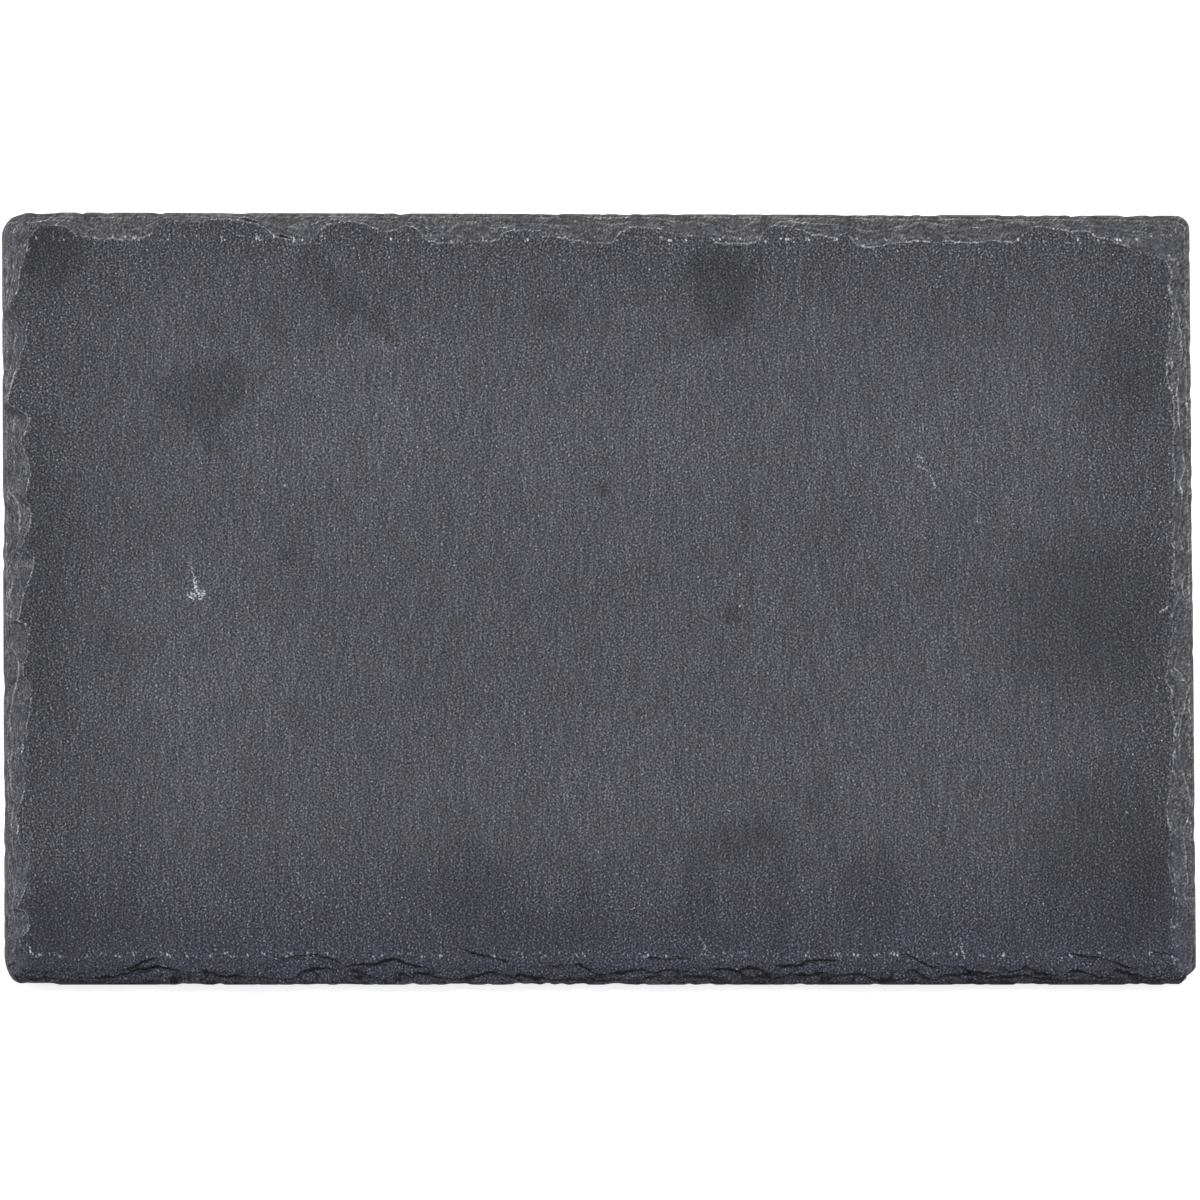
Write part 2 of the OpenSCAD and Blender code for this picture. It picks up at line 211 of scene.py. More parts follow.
        (64, 48, 7), (65.3, 60, 7), (66.3, 77, 6), (69, 86, 9), (71.5, 83, 8), (75, 77, 7), (79, 73, 5), (83, 69, 6),
        (87, 74, 5), (91, 68, 4), (94, 73, 9), (98, 75, 5), (101, 66, 6), (104.5, 71, 10), (107.3, 74, 9), (109, 62, 4),
        (110.5, 47, 3), (112.5, 34, 4), (115, 32, 5), (117.5, 37, 6), (122, 44, 5), (127, 44, 6), (129, 60, 7),
        (131.5, 62, 8), (133.5, 71, 8), (136, 80, 10), (138.5, 87, 10), (140, 95, 9), (143.2, 107, 9),
    ))),
    Edge.LEFT: (LayerEdge((
        (-98.5, 14, 2), (0, 11, 5), (98.5, 14, 4),
    )), LayerEdge((
        (-96.5, 36, 1), (-92, 24, 3), (-86, 34, 3), (-80, 22, 5), (-76, 29, 4), (-70, 32, 3), (-64, 22, 4),
        (-58, 22, 6), (-54, 28, 6), (-50, 22, 5), (-45, 16, 5), (-40, 22, 3), (-34, 19, 4), (-30, 17, 7),
        (-27.5, 24, 7), (-25, 25, 5), (-23, 33, 6), (-21, 39, 9), (-17, 42, 10), (-14.6, 36, 9), (-12.8, 22, 8),
        (-10, 26, 2), (-5, 19, 4), (-3.2, 22, 10), (-2.4, 32, 10), (-1, 21, 9), (1, 16, 6), (3, 25, 8), (5.3, 25, 7),
        (8, 16, 3), (11, 28, 3), (15, 43, 4), (18, 44, 8), (21, 46, 9), (23.3, 45, 10), (26, 33, 10), (28, 16, 9),
        (30, 22, 3), (36, 34, 3), (42, 26, 4), (47, 35, 4), (50, 13, 3), (57, 15, 3), (63, 31, 5), (68, 38, 4),
        (74, 13, 3), (80, 26, 4), (87, 32, 4), (97, 30, 4),
    )), LayerEdge((
        (-93.5, 68, 2.5), (-90, 46, 4), (-87.8, 44, 5), (-86.3, 63, 5), (-83.3, 66, 4), (-81, 59, 4), (-80.3, 36, 5),
        (-78.3, 46, 7), (-75.3, 58, 5), (-73.3, 62, 4), (-70.3, 63, 3), (-66.3, 70, 3), (-64.3, 51, 4), (-63.3, 42, 6),
        (-59.3, 39, 7), (-56.3, 36, 8), (-54.3, 42, 8), (-51.3, 53, 7), (-47.3, 55, 7), (-43.3, 58, 5), (-40.3, 48, 5),
        (-37.3, 53, 5), (-34.3, 63, 5), (-33, 62, 5), (-30, 70, 5), (-27, 72, 5), (-22, 71, 5), (-20, 54, 4),
        (-17, 52, 4), (-15, 65, 4), (-10, 67, 5), (-8, 66, 5), (-6.6, 61, 6), (-5.8, 38, 6), (-4, 46, 8), (-1, 53, 9),
        (2, 58, 8), (5, 72, 7), (8, 80, 6), (10.5, 84, 7), (11.8, 69, 5), (13, 49, 6), (16, 60, 9), (19, 72, 8),
        (22, 76, 6), (24.3, 72, 5), (25.8, 58, 5), (28, 62, 8), (30, 70, 9), (32.5, 75, 8), (35.5, 70, 7),
        (38.5, 58, 5), (40.5, 48, 4), (42.5, 59, 5), (44.5, 68, 8), (47, 72, 8), (48.4, 52, 5), (49.5, 29, 5),
        (50.8, 18, 7), (53, 21, 8), (56, 26, 8), (58.5, 37, 8), (59.8, 45, 6), (62, 48, 4), (63.5, 52, 6),
        (65.5, 62, 5), (68.5, 64, 4), (71.5, 49, 5), (73.5, 34, 5), (75.5, 19, 6), (77.5, 30, 5), (80.5, 45, 6),
        (82.5, 46, 7), (85.5, 52, 7), (88.5, 60, 8), (91, 70, 7), (93, 72, 8),
    ))),
}


@dataclass(frozen=True)
class Fracture:
    """How the stone has broken along an edge.

    Args:
        fall: height lost in the slope between the innermost layer edge and the foot.
        bend: how the slope steepens towards the outline, 1 for an even one.
        steps: height of the steps at the three layer edges, from the outermost in, where they are boldest.
        foot: width of the steep foot along the outline.
        lumps: height of the swells in the slope.
        grit: height of the fine roughness.
    """

    fall: float
    bend: float
    steps: tuple[float, float, float]
    foot: float
    lumps: float
    grit: float


FRONT_FRACTURE = Fracture(1.1 * MM, 1.6, (0.90 * MM, 0.90 * MM, 0.45 * MM), 0.75 * MM, 0.12 * MM, 0.05 * MM)
SIDE_FRACTURE = Fracture(2.9 * MM, 1.10, (0.30 * MM, 0.45 * MM, 0.45 * MM), 0.45 * MM, 0.34 * MM, 0.05 * MM)


@dataclass(frozen=True)
class CornerRound:
    """The shape of the outline at a corner.

    Args:
        size: size of the corner's round, in metres.
        power: bend of the outline there, 2 for a full round and 1 for a straight cut.
    """

    size: float
    power: float


CORNER_ROUNDS: dict[Corner, CornerRound] = {
    Corner.FRONT_LEFT: CornerRound(7.2 * MM, 2.5),
    Corner.FRONT_RIGHT: CornerRound(4.6 * MM, 1.25),
    Corner.BACK_RIGHT: CornerRound(3.6 * MM, 1.9),
    Corner.BACK_LEFT: CornerRound(6.1 * MM, 1.75),
}


# Shades, stains and strokes

# Painted shade of the face towards the edges, a vignette, deepest on the front's slope that faces away from the lamps:
# distance in from the outline in millimetres, and shade as a power of e
BORDER_SHADES: dict[Edge, Pairs] = {
    Edge.FRONT: ((0, -1.08), (1, -0.94), (2, -0.82), (4, -0.69), (6, -0.61), (8, -0.55), (14, -0.47), (24, -0.24),
                 (42, 0)),
    Edge.RIGHT: ((0, -0.28), (8, -0.28), (13, -0.25), (22, -0.13), (34, 0)),
    Edge.BACK: ((0, -0.31), (7, -0.31), (15, -0.20), (34, 0)),
    Edge.LEFT: ((0, -0.32), (8, -0.32), (14, -0.23), (24, -0.12), (34, -0.07), (46, 0)),
}

# Painted shade of the broken band along each edge, darkest on the back, which the lamps light most
BAND_SHADES: dict[Edge, Pairs] = {
    Edge.FRONT: ((0, 0), (1, 0)),
    Edge.RIGHT: ((0, -0.22), (3, -0.20), (7, -0.15)),
    Edge.BACK: ((0, -0.53), (2, -0.42), (4, -0.37), (8, -0.32)),
    Edge.LEFT: ((0, -0.11), (4, -0.09), (8, -0.05)),
}

# The bands of the sides darken towards the front: by how much, as a power of e, and over how many millimetres
BAND_GLOOM: dict[Edge, tuple[float, float]] = {Edge.RIGHT: (-0.24, 60), Edge.LEFT: (-0.38, 22)}


@dataclass(frozen=True)
class Stain:
    """A patch of darker or lighter stone on the serving face.

    Args:
        x: middle of the patch, in millimetres from the board's middle.
        y: the same along Y.
        half_x: half its size along its own first axis, in millimetres.
        half_y: half its size along its own second axis, in millimetres.
        shade: how much lighter the stone is, as a power of e, or darker where it is negative.
        turn: turn of its axes, in degrees.
        core: how far out its even middle reaches, as a share of its size.
    """

    x: float
    y: float
    half_x: float
    half_y: float
    shade: float
    turn: float = 0.0
    core: float = 0.6


STAINS: tuple[Stain, ...] = (
    Stain(-140, 89, 10, 9, -0.42),
    Stain(-143, 93, 7, 4, -0.55),
    Stain(-104, 48, 13, 4.5, -0.34, -46),
    Stain(-96, 54, 7, 10, -0.34, -20),
    Stain(-105, 57, 8, 4, -0.30),
    Stain(-84, 68, 9, 4, -0.14, 40, 0.2),
    Stain(-61, 75.5, 12, 4.5, -0.30, -38),
    Stain(-72, 84, 5, 8, -0.18, 0, 0.3),
    Stain(-11.4, 73.7, 3.8, 3.8, -0.24),
    Stain(34, 85, 10.5, 6.5, -0.48),
    Stain(34, 78, 7.5, 7, -0.48),
    Stain(31, 71, 4, 4, -0.36),
    Stain(138, 60, 17, 20, -0.24, 0, 0.1),
    Stain(139, 53, 6, 6, -0.32, 0, 0.3),
    Stain(137, 66, 5, 8, -0.26, 0, 0.3),
    Stain(129, -5, 25, 27, -0.40, 0, 0.3),
    Stain(130, -6, 11, 13, -0.46, 20, 0.3),
    Stain(135, -66, 26, 27, -0.36, 0, 0.25),
    Stain(143, -72, 9, 14, -0.46, 0, 0.3),
    Stain(38, -62, 13, 6, -0.26),
    Stain(28, -76, 5, 15, -0.26),
    Stain(49, -76, 4.5, 14, -0.22),
    Stain(38, -80, 16, 12, -0.14, 0, 0.2),
    Stain(60, -53, 3.5, 9, -0.16),
    Stain(-32, -76, 17, 14, -0.26, 0, 0.2),
    Stain(-12, -84, 24, 9, -0.18, 0, 0.2),
    Stain(74, -76, 11, 10, -0.26, 0, 0.3),
    Stain(-128, -80, 26, 12, -0.16, 0, 0.1),
    Stain(1.2, 28, 2.1, 2.1, -0.28),
    Stain(35, -4.4, 2.9, 2.9, -0.32),
    Stain(-80.4, 10.8, 2.9, 2.3, -0.25),
    Stain(-144, 6, 14, 46, -0.24, 0, 0.2),
    Stain(-142, -84, 14, 13, -0.22, 0, 0.2),
    Stain(-124, -12, 8, 10, -0.16, 0, 0.2),
    Stain(98.6, 20.4, 1.5, 1.5, 0.40),
    Stain(-8, -48.5, 1.7, 5, 0.26),
    Stain(7.5, 73.7, 4.5, 2.4, 0.22, 15),
    Stain(-55, 65, 5.5, 1.3, 0.30, -14),
    # The last six are broad faint lighter patches over the inner face: painted light, falling off towards the edges
    # with the border shades
    Stain(-62, 42, 50, 30, 0.14, 0, 0.1),
    Stain(88, 42, 44, 26, 0.13, 0, 0.1),
    Stain(0, 42, 120, 32, 0.10, 0, 0.1),
    Stain(-102, -24, 30, 50, 0.14, 0, 0.1),
    Stain(-20, -44, 90, 22, 0.08, 0, 0.1),
    Stain(76, -30, 40, 34, 0.06, 0, 0.1),
)

# Painted light on the front's right corner, where the broken front is lighter than the rest of it
FRONT_PAINTED_LIGHT = Stain(144, -95, 9, 5, 0.34)


@dataclass(frozen=True)
class Stroke:
    """A short crushed scratch or knock in the face, along a line between two points in millimetres."""

    start: Pair
    end: Pair
    half_width: float
    strength: float


STROKES: tuple[Stroke, ...] = (
    Stroke((-104.7, 5.2), (-104.3, 2.2), 0.62, 1.0),
    Stroke((-105.4, 0.9), (-103.0, 1.5), 0.80, 0.9),
    Stroke((-106.3, 0.9), (-105.2, -0.2), 0.50, 1.0),
    Stroke((-103.2, 0.1), (-102.4, 1.6), 0.75, 1.0),
    Stroke((-105.7, 9.4), (-105.0, 6.0), 0.28, 0.4),
    Stroke((82.6, 37.1), (84.0, 35.4), 0.48, 0.75),
    Stroke((82.5, 34.2), (85.0, 33.1), 0.34, 0.35),
    Stroke((85.7, 32.1), (86.9, 28.8), 0.38, 0.6),
    Stroke((25.8, -87.5), (27.6, -90.2), 0.30, 0.40),
    Stroke((27.6, -90.2), (26.3, -92.6), 0.30, 0.40),
    Stroke((93.5, -89.0), (94.6, -93.2), 0.34, 0.55),
    Stroke((145.2, -3.4), (147.2, -2.2), 0.45, 0.5),
)

# Open slots between layers that have begun to part, painted black as the shade inside them
SLOT_SHADOWS: tuple[Stroke, ...] = (
    Stroke((-92.2, 98.5), (-88.8, 97.3), 0.42, 0.9),
    Stroke((-82.6, 93.9), (-79.4, 93.0), 0.36, 0.9),
    Stroke((142.5, -91.4), (149.0, -92.4), 0.26, 0.8),
    Stroke((-151.4, -94.4), (-153.0, -95.4), 0.30, 0.9),
)

# Crushed flecks: the bites of the dressing tool, bright specks and finer dust
BITES: Inputs = {"Stretch": (1.0, 0.7, 1.0), "Scale": 1350.0, "Radius": 0.52, "Share": 0.43}
SPECKS: Inputs = {"Stretch": (1.0, 0.8, 1.0), "Scale": 110.0, "Radius": 0.040, "Share": 0.12}
DUST: Inputs = {"Stretch": (1.0, 0.8, 1.0), "Scale": 330.0, "Radius": 0.06, "Share": 0.25}

# What places and stretches are multiplied by to lay them flat, and to leave them as they are
FLAT: Triple = (1.0, 1.0, 0.0)
EVEN: Triple = (1.0, 1.0, 1.0)

WHITE: Colour = (1.0, 1.0, 1.0)


# Noise and easing on arrays

# Large numbers that scatter the places of a grid, and how its finer layers are shifted and made up for
COLUMN_FACTOR, ROW_FACTOR, SEED_FACTOR, MIX_FACTOR = 374761393, 668265263, 974634777, 1274126177
HASH_BITS = 0xFFFF
LAYER_SHIFT = 7.3
LAYER_GAIN = 1.4


def ease(share: Array) -> Array:
    """Eased step from 0 to 1 over the shares from 0 to 1."""
    part = np.clip(share, 0.0, 1.0)
    return part * part * (3.0 - 2.0 * part)


def lattice_value(column: Array, row: Array, seed: int) -> Array:
    """Fixed random value from -1 to 1 at each whole-numbered place of a grid.

    Args:
        column: whole numbers along the first axis.
        row: whole numbers along the second axis.
        seed: number that picks the pattern.

    Returns:
        One value for each pair of numbers.
    """
    mixed = column.astype(np.int64) * COLUMN_FACTOR + row.astype(np.int64) * ROW_FACTOR + seed * SEED_FACTOR
    mixed = (mixed ^ (mixed >> 13)) * MIX_FACTOR
    mixed = (mixed ^ (mixed >> 16)) & HASH_BITS
    return mixed / (HASH_BITS / 2) - 1.0


def smooth_noise(first: Array, second: Array, seed: int) -> Array:
    """Smooth noise from about -1 to 1, with features one unit apart."""
    column, row = np.floor(first), np.floor(second)
    across, along = ease(first - column), ease(second - row)
    low = lattice_value(column, row, seed) * (1 - across) + lattice_value(column + 1, row, seed) * across
    high = lattice_value(column, row + 1, seed) * (1 - across) + lattice_value(column + 1, row + 1, seed) * across
    return low * (1 - along) + high * along


def layered_noise(first: Array, second: Array, seed: int, layers: int = 3) -> Array:
    """Several layers of smooth noise, each twice as fine and about half as strong.

    Args:
        first: coordinates along the first axis, in features.
        second: coordinates along the second axis, in features.
        seed: number that picks the pattern.
        layers: how many layers are added up.

    Returns:
        Noise from about -1 to 1.
    """
    total, weight, sum_of_weights = np.zeros(np.broadcast(first, second).shape), 1.0, 0.0
    for layer in range(layers):
        total = total + weight * smooth_noise(first * 2**layer + LAYER_SHIFT * layer, second * 2**layer, seed + layer)
        sum_of_weights += weight
        weight *= 0.5
    return total / sum_of_weights * LAYER_GAIN


@dataclass(frozen=True)
class Swell:
    """Noise over the slab: the sizes of its features along X and Y, its pattern and how many layers it has."""

    size_x: float
    size_y: float
    pattern: int
    layers: int = 3

    def at(self, x: Array, y: Array, order: int = 0) -> Array:
        """Noise at each place, in a pattern of its own for each order."""
        return layered_noise(x / self.size_x, y / self.size_y, self.pattern + order, self.layers)


# Objects


def link_object(name: str, data: bpy.types.ID) -> Object:
    """Makes an object from its data and links it to the scene."""
    made = bpy.data.objects.new(name, data)
    bpy.context.scene.collection.objects.link(made)
    return made


def smooth_over(mesh: Mesh, degrees: float) -> None:
    """Shades a mesh smooth, but for the edges that are sharper than an angle."""
    mesh.polygons.foreach_set("use_smooth", np.ones(len(mesh.polygons), bool))
    mesh.set_sharp_from_angle(angle=math.radians(degrees))


# Slate slab


@dataclass
class SlateSlab:
    """The split slate slab: two flat riven faces, and a band round the upper one where layers have broken off.

    Args:
        low: lowest corner of the CAD slab.
        high: highest corner of the CAD slab.
    """

    low: Vector
    high: Vector
    node: str = "slate_slab"

    # How far the far end of each edge leans in, and the chipped edge below
    right_lean: float = 1.8 * MM
    left_lean: float = 0.7 * MM
    back_lean: float = 0.9 * MM
    arris_height: float = 0.9 * MM
    arris_inset: float = 0.7 * MM
    arris_cover: float = 0.15 * MM
    arris_profile: Pairs = ((0.45, 0.22), (0.78, 0.55), (1.0, 1.0))
    rim_height: float = 0.25 * MM
    chips: Swell = Swell(6.0, 1.0, 101)
    chip_swing: float = 0.7
    chip_range: Pair = (-0.9, 2.0)

    # Edges of the broken layers: risers, treads, how far they sway and nibble, and how bold they are
    band_depth: float = 13.5 * MM
    least_tread: float = 0.4 * MM
    riser: float = 0.25 * MM
    sway: tuple[float, Swell] = (0.24 * MM, Swell(1.6 * MM, 1.6 * MM, 11, 2))
    nibbles: tuple[float, Swell] = (0.13 * MM, Swell(0.5 * MM, 0.5 * MM, 21, 2))
    fades: Swell = Swell(2.5 * MM, 2.5 * MM, 41, 2)
    bold_level: float = 0.75
    bold_swing: float = 0.35

    # Broken stone between them: swells, thin steps and grit
    swells: Swell = Swell(7.0 * MM, 7.0 * MM, 51)
    fine_layer: float = 0.50 * MM
    step_share: float = 0.3
    step_sway: float = 0.9
    step_shifts: Swell = Swell(7.0 * MM, 4.0 * MM, 31, 4)
    layering: float = 0.25
    broken_full: float = 0.12 * MM
    grit: Swell = Swell(1.7 * MM, 1.7 * MM, 56, 4)

    # Steep foot along the outline
    foot_change: Swell = Swell(5.0 * MM, 5.0 * MM, 14)
    foot_swing: float = 0.65
    foot_range: Pair = (0.45, 1.7)
    foot_bend: float = 1.3
    corner_blend: float = 6.0 * MM

    # Relief, unevenness of the face and wear of the outline, with its grains in millimetres
    relief_step: float = 0.28 * MM
    relief_full: float = 0.05 * MM
    face_sway: float = 0.10 * MM
    face_swing: Pair = (0.5, 0.35)
    uneven: Swell = Swell(46.0 * MM, 30.0 * MM, 71, 2)
    outline_wear: float = 0.34 * MM
    outline_spacing: float = 0.4
    worn: Swell = Swell(9.0, 1.0, 91)
    nick_grain: float = 2.6
    nick_pattern: int = 92
    nick_share: float = 0.75

    # Rings of the mesh: places round them, rings between the layers' edges, and rings inside of those
    front_steps: int = 1040
    back_steps: int = 880
    side_steps: int = 440
    way_samples: int = 120
    tread_rings: tuple[int, int, int] = (2, 4, 5)
    last_edge: float = 0.94
    past_edge: Pair = (0.15 * MM, 0.6 * MM)
    last_past_edge: float = 0.985
    inner_rings: int = 4
    inner_growth: float = 1.3
    halvings: int = 3
    face_rings: int = 14
    underside_rings: int = 8
    sharp_angle: float = 48.0

    # Marks: the furthest distance that they hold in millimetres, and how near an edge counts as its band
    mark_reach: float = 3.0
    edge_reach: float = 2.0 * MM
    above_underside: float = 0.05 * MM

    def __post_init__(self) -> None:
        """Works out the sizes that follow from the CAD slab's box."""
        self.half_length = (self.high.x - self.low.x) / 2
        self.half_width = (self.high.y - self.low.y) / 2
        self.middle = Vector(((self.high.x + self.low.x) / 2, (self.high.y + self.low.y) / 2))
        self.thickness = self.high.z - self.low.z

    def half_sizes(self, place: Array) -> Array:
        """Half length and half width of the outline at places on it, with each edge's lean taken off."""
        right = self.right_lean * (1 + place[..., 1]) / 2
        left = self.left_lean * (1 - place[..., 1]) / 2
        back = self.back_lean * (1 + place[..., 0]) / 2
        half_x = self.half_length - np.where(place[..., 0] > 0, right, left)
        half_y = self.half_width - np.where(place[..., 1] > 0, back, 0.0)
        return np.stack([half_x, half_y], axis=-1)

    def places(self) -> Array:
        """Places round the outline, counter-clockwise from the front left corner, as shares of the half sizes."""
        front, side, back = (-1 + 2 * np.arange(count) / count
                             for count in (self.front_steps, self.side_steps, self.back_steps))
        return np.concatenate([
            np.stack([front, -np.ones_like(front)], axis=-1),
            np.stack([np.ones_like(side), side], axis=-1),
            np.stack([-back, np.ones_like(back)], axis=-1),
            np.stack([-np.ones_like(side), -side], axis=-1),
        ])

    def outline(self, places: Array, inset: float) -> Array:
        """Points of the outline with its corners rounded, drawn in by inset.

        Args:
            places: places on the outline, as shares of its half sizes.
            inset: distance by which the outline is drawn in.

        Returns:
            One point for each place, from the slab's middle.
        """
        half = self.half_sizes(places) - inset
        points = places * half
        for corner, shape in CORNER_ROUNDS.items():
            signs = np.array(corner.value, float)
            core = self.half_sizes(signs) - inset - shape.size
            out = np.clip(points * signs - core, 0.0, None)
            inside = (out[:, 0] > 0) & (out[:, 1] > 0)
            span = (out[:, 0] ** shape.power + out[:, 1] ** shape.power) ** (1 / shape.power)
            turned = (core + out * shape.size / np.maximum(span, 1e-9)[:, None]) * signs
            points = np.where(inside[:, None], turned, points)
        return points

    def edge_distances(self, x: Array, y: Array) -> dict[Edge, Array]:
        """Distance of points from each of the four straight edges."""
        share_x, share_y = x / self.half_length, y / self.half_width
        return {
            Edge.FRONT: y + self.half_width,
            Edge.RIGHT: self.half_length - self.right_lean * (1 + share_y) / 2 - x,
            Edge.BACK: self.half_width - self.back_lean * (1 + share_x) / 2 - y,
            Edge.LEFT: self.half_length - self.left_lean * (1 - share_y) / 2 + x,
        }

    def outline_distance(self, x: Array, y: Array) -> Array:
        """Distance of points from the outline with its rounded corners, negative outside it."""
        gaps = self.edge_distances(x, y)
        nearest = np.minimum.reduce(list(gaps.values()))
        for corner, shape in CORNER_ROUNDS.items():
            gap_x = gaps[Edge.RIGHT if corner.value[0] > 0 else Edge.LEFT]
            gap_y = gaps[Edge.BACK if corner.value[1] > 0 else Edge.FRONT]
            out_x, out_y = np.clip(shape.size - gap_x, 0, None), np.clip(shape.size - gap_y, 0, None)
            span = (out_x**shape.power + out_y**shape.power) ** (1 / shape.power)
            nearest = np.where((out_x > 0) & (out_y > 0), np.minimum(nearest, shape.size - span), nearest)
        return nearest

    def front_share(self, x: Array, y: Array) -> Array:
        """How far each place belongs to the front edge, from 0 to 1, blended over the front corners."""
        gaps = self.edge_distances(x, y)
        side = np.minimum(gaps[Edge.LEFT], gaps[Edge.RIGHT])
        return ease((side - gaps[Edge.FRONT]) / self.corner_blend + 0.5)

    def foot_width(self, x: Array, y: Array) -> Array:
        """Width of the steep foot along the outline."""
        front = self.front_share(x, y)
        mean = FRONT_FRACTURE.foot * front + SIDE_FRACTURE.foot * (1 - front)
        return mean * np.clip(1 + self.foot_swing * self.foot_change.at(x, y), *self.foot_range)

    def layer_breaks(self, x: Array, y: Array) -> tuple[Array, Array, Array]:
        """Where places lie to the broken edges of the three layers.

        Args:
            x: places along X, from the slab's middle.
            y: places along Y, from the slab's middle.

        Returns:
            How far each place lies inwards of each layer's edge, with the outermost layer first, how bold that
            edge is nearby, and how far each place is on its way from the outline to the innermost edge.
        """
        gaps = self.edge_distances(x, y)
        gap = self.outline_distance(x, y)
        nearest = np.argmin(np.stack(list(gaps.values())), axis=0)
        rims, slopes, bold = (np.zeros((3, *gap.shape)) for _ in range(3))
        for number, edge in enumerate(gaps):
            here = nearest == number
            along = (x if edge in (Edge.FRONT, Edge.BACK) else y)[here]
            for order, layer in enumerate(LAYER_EDGES[edge]):
                rims[order][here], slopes[order][here], bold[order][here] = layer.at(along)
        rims[1] = np.minimum(rims[1], rims[2] - self.least_tread)
        rims[0] = np.minimum(rims[0], rims[1] - self.least_tread)
        offsets = np.empty_like(rims)
        for order in range(3):
            wave = gap
            for amount, swell in (self.sway, self.nibbles):
                wave = wave + amount * swell.at(x, y, order)
            offsets[order] = (wave - rims[order]) / np.hypot(1.0, slopes[order])
            fade = self.bold_level + self.bold_swing * self.fades.at(x, y, order)
            bold[order] = np.clip(bold[order] * fade, 0.0, 1.0)
        return offsets, bold, np.clip(wave / rims[2], 0.0, 1.0)

    def stepped(self, depth: Array, shift: Array) -> Array:
        """Depth with its slope gathered into thin steps."""
        steps = depth / self.fine_layer + shift
        whole = np.floor(steps)
        rise = ease((steps - whole - (1 - self.step_share)) / self.step_share)
        return np.clip((whole + rise - shift) * self.fine_layer, 0, None)

    def broken_depth(self, x: Array, y: Array, fracture: Fracture, breaks: tuple[Array, Array, Array]) -> Array:
        """Depth below the face to which the stone has broken off.

        Args:
            x: places along X, from the slab's middle.
            y: places along Y, from the slab's middle.
            fracture: how the stone breaks.
            breaks: where the places lie to the layers' edges.

        Returns:
            Depths from 0 on the face to the top of the arris at the outline.
        """
        offsets, bold, share = breaks
        depth = fracture.fall * (1 - share) ** fracture.bend
        depth = depth + fracture.lumps * self.swells.at(x, y) * 4 * share * (1 - share)
        for step, offset, strength in zip(fracture.steps, offsets, bold):
            depth = depth + step * strength * ease(-offset / self.riser)
        broken = ease(depth / self.broken_full)
        shift = self.step_sway * self.step_shifts.at(x, y)
        depth = depth + broken * self.layering * (self.stepped(depth, shift) - depth)
        depth = depth + broken * self.grit.at(x, y) * fracture.grit
        full = self.thickness - self.arris_height
        down = 1 - np.clip(self.outline_distance(x, y) / self.foot_width(x, y), 0.0, 1.0)
        return depth + (full - depth) * down**self.foot_bend

    def upper_height(self, x: Array, y: Array) -> Array:
        """Height above the underside of the finished upper surface."""
        breaks = self.layer_breaks(x, y)
        front = self.front_share(x, y)
        depth = (front * self.broken_depth(x, y, FRONT_FRACTURE, breaks)
                 + (1 - front) * self.broken_depth(x, y, SIDE_FRACTURE, breaks))
        level, swing = self.face_swing
        sway = self.face_sway * (level + swing * self.uneven.at(x, y))
        deepest = self.thickness - self.arris_height + self.arris_cover
        return self.thickness - np.clip(depth + np.clip(sway, 0, None), 0.0, deepest)

    def relief(self, x: Array, y: Array) -> Array:
        """How much each place stands out from its surroundings: 1 on a sharp ridge and -1 in a sharp crease."""
        step = self.relief_step
        around = sum(self.upper_height(x + step * right, y + step * back)
                     for right, back in ((1, 0), (-1, 0), (0, 1), (0, -1)))
        return np.tanh((self.upper_height(x, y) - around / 4) / self.relief_full)

    def crossings(self, outer: Array, way: Array) -> list[Array]:
        """Where the ways in from the outline cross the edges of the three layers.

        Args:
            outer: where the ways start.
            way: the ways.

        Returns:
            For each layer, the shares of the ways at which they cross its edge for the last time.
        """
        samples = np.linspace(0.0, 1.0, self.way_samples)
        grid = outer[None] + samples[:, None, None] * way[None]
        offsets = self.layer_breaks(grid[..., 0], grid[..., 1])[0]
        columns = np.arange(len(outer))
        shares = []
        for offset in offsets:
            last = np.clip(len(samples) - 1 - np.argmax((offset < 0)[::-1], axis=0), 0, len(samples) - 2)
            before, after = offset[last, columns], offset[last + 1, columns]
            part = np.clip(-before / np.where(after == before, 1.0, after - before), 0.0, 1.0)
            shares.append(samples[last] + part * samples[1])
        return shares

    def upper_rings(self, places: Array) -> tuple[list[Array], Array]:
        """Plan of the rings of the broken band, which follow the edges of the layers.

        Args:
            places: places round the outline.

        Returns:
            The rings' points, from the outline inwards, and the outline that the lower rings share.
        """
        outer = self.outline(places, 0.0)
        along = np.arange(len(places)) * self.outline_spacing
        nicks = smooth_noise(along / self.nick_grain, along * 0, self.nick_pattern)
        wear = self.outline_wear * np.clip(self.worn.at(along, along * 0) + self.nick_share * nicks, 0, None)
        inner = self.outline(places, self.band_depth)
        outer = outer + (inner - outer) * (wear / self.band_depth)[:, None]
        way = inner - outer
        unit = 1 / np.hypot(way[:, 0], way[:, 1])
        foot = self.foot_width(outer[:, 0], outer[:, 1]) * unit
        riser, tread = self.riser * unit, self.least_tread * unit
        edge = foot
        shares = [np.zeros(len(places)), foot]
        for crossing, between in zip(self.crossings(outer, way), self.tread_rings):
            start = edge
            edge = np.minimum(np.maximum(crossing, start + riser + tread), self.last_edge)
            bottom = edge - riser
            shares += [start + (bottom - start) * step / (between + 1) for step in range(1, between + 2)]
            shares.append(edge)
        near, far = self.past_edge
        last = np.minimum(edge + far * unit, self.last_past_edge)
        shares += [edge + near * unit, last]
        shares += [last + (1 - last) * (step / self.inner_rings) ** self.inner_growth
                   for step in range(1, self.inner_rings + 1)]
        return [outer + share[:, None] * way for share in shares], outer

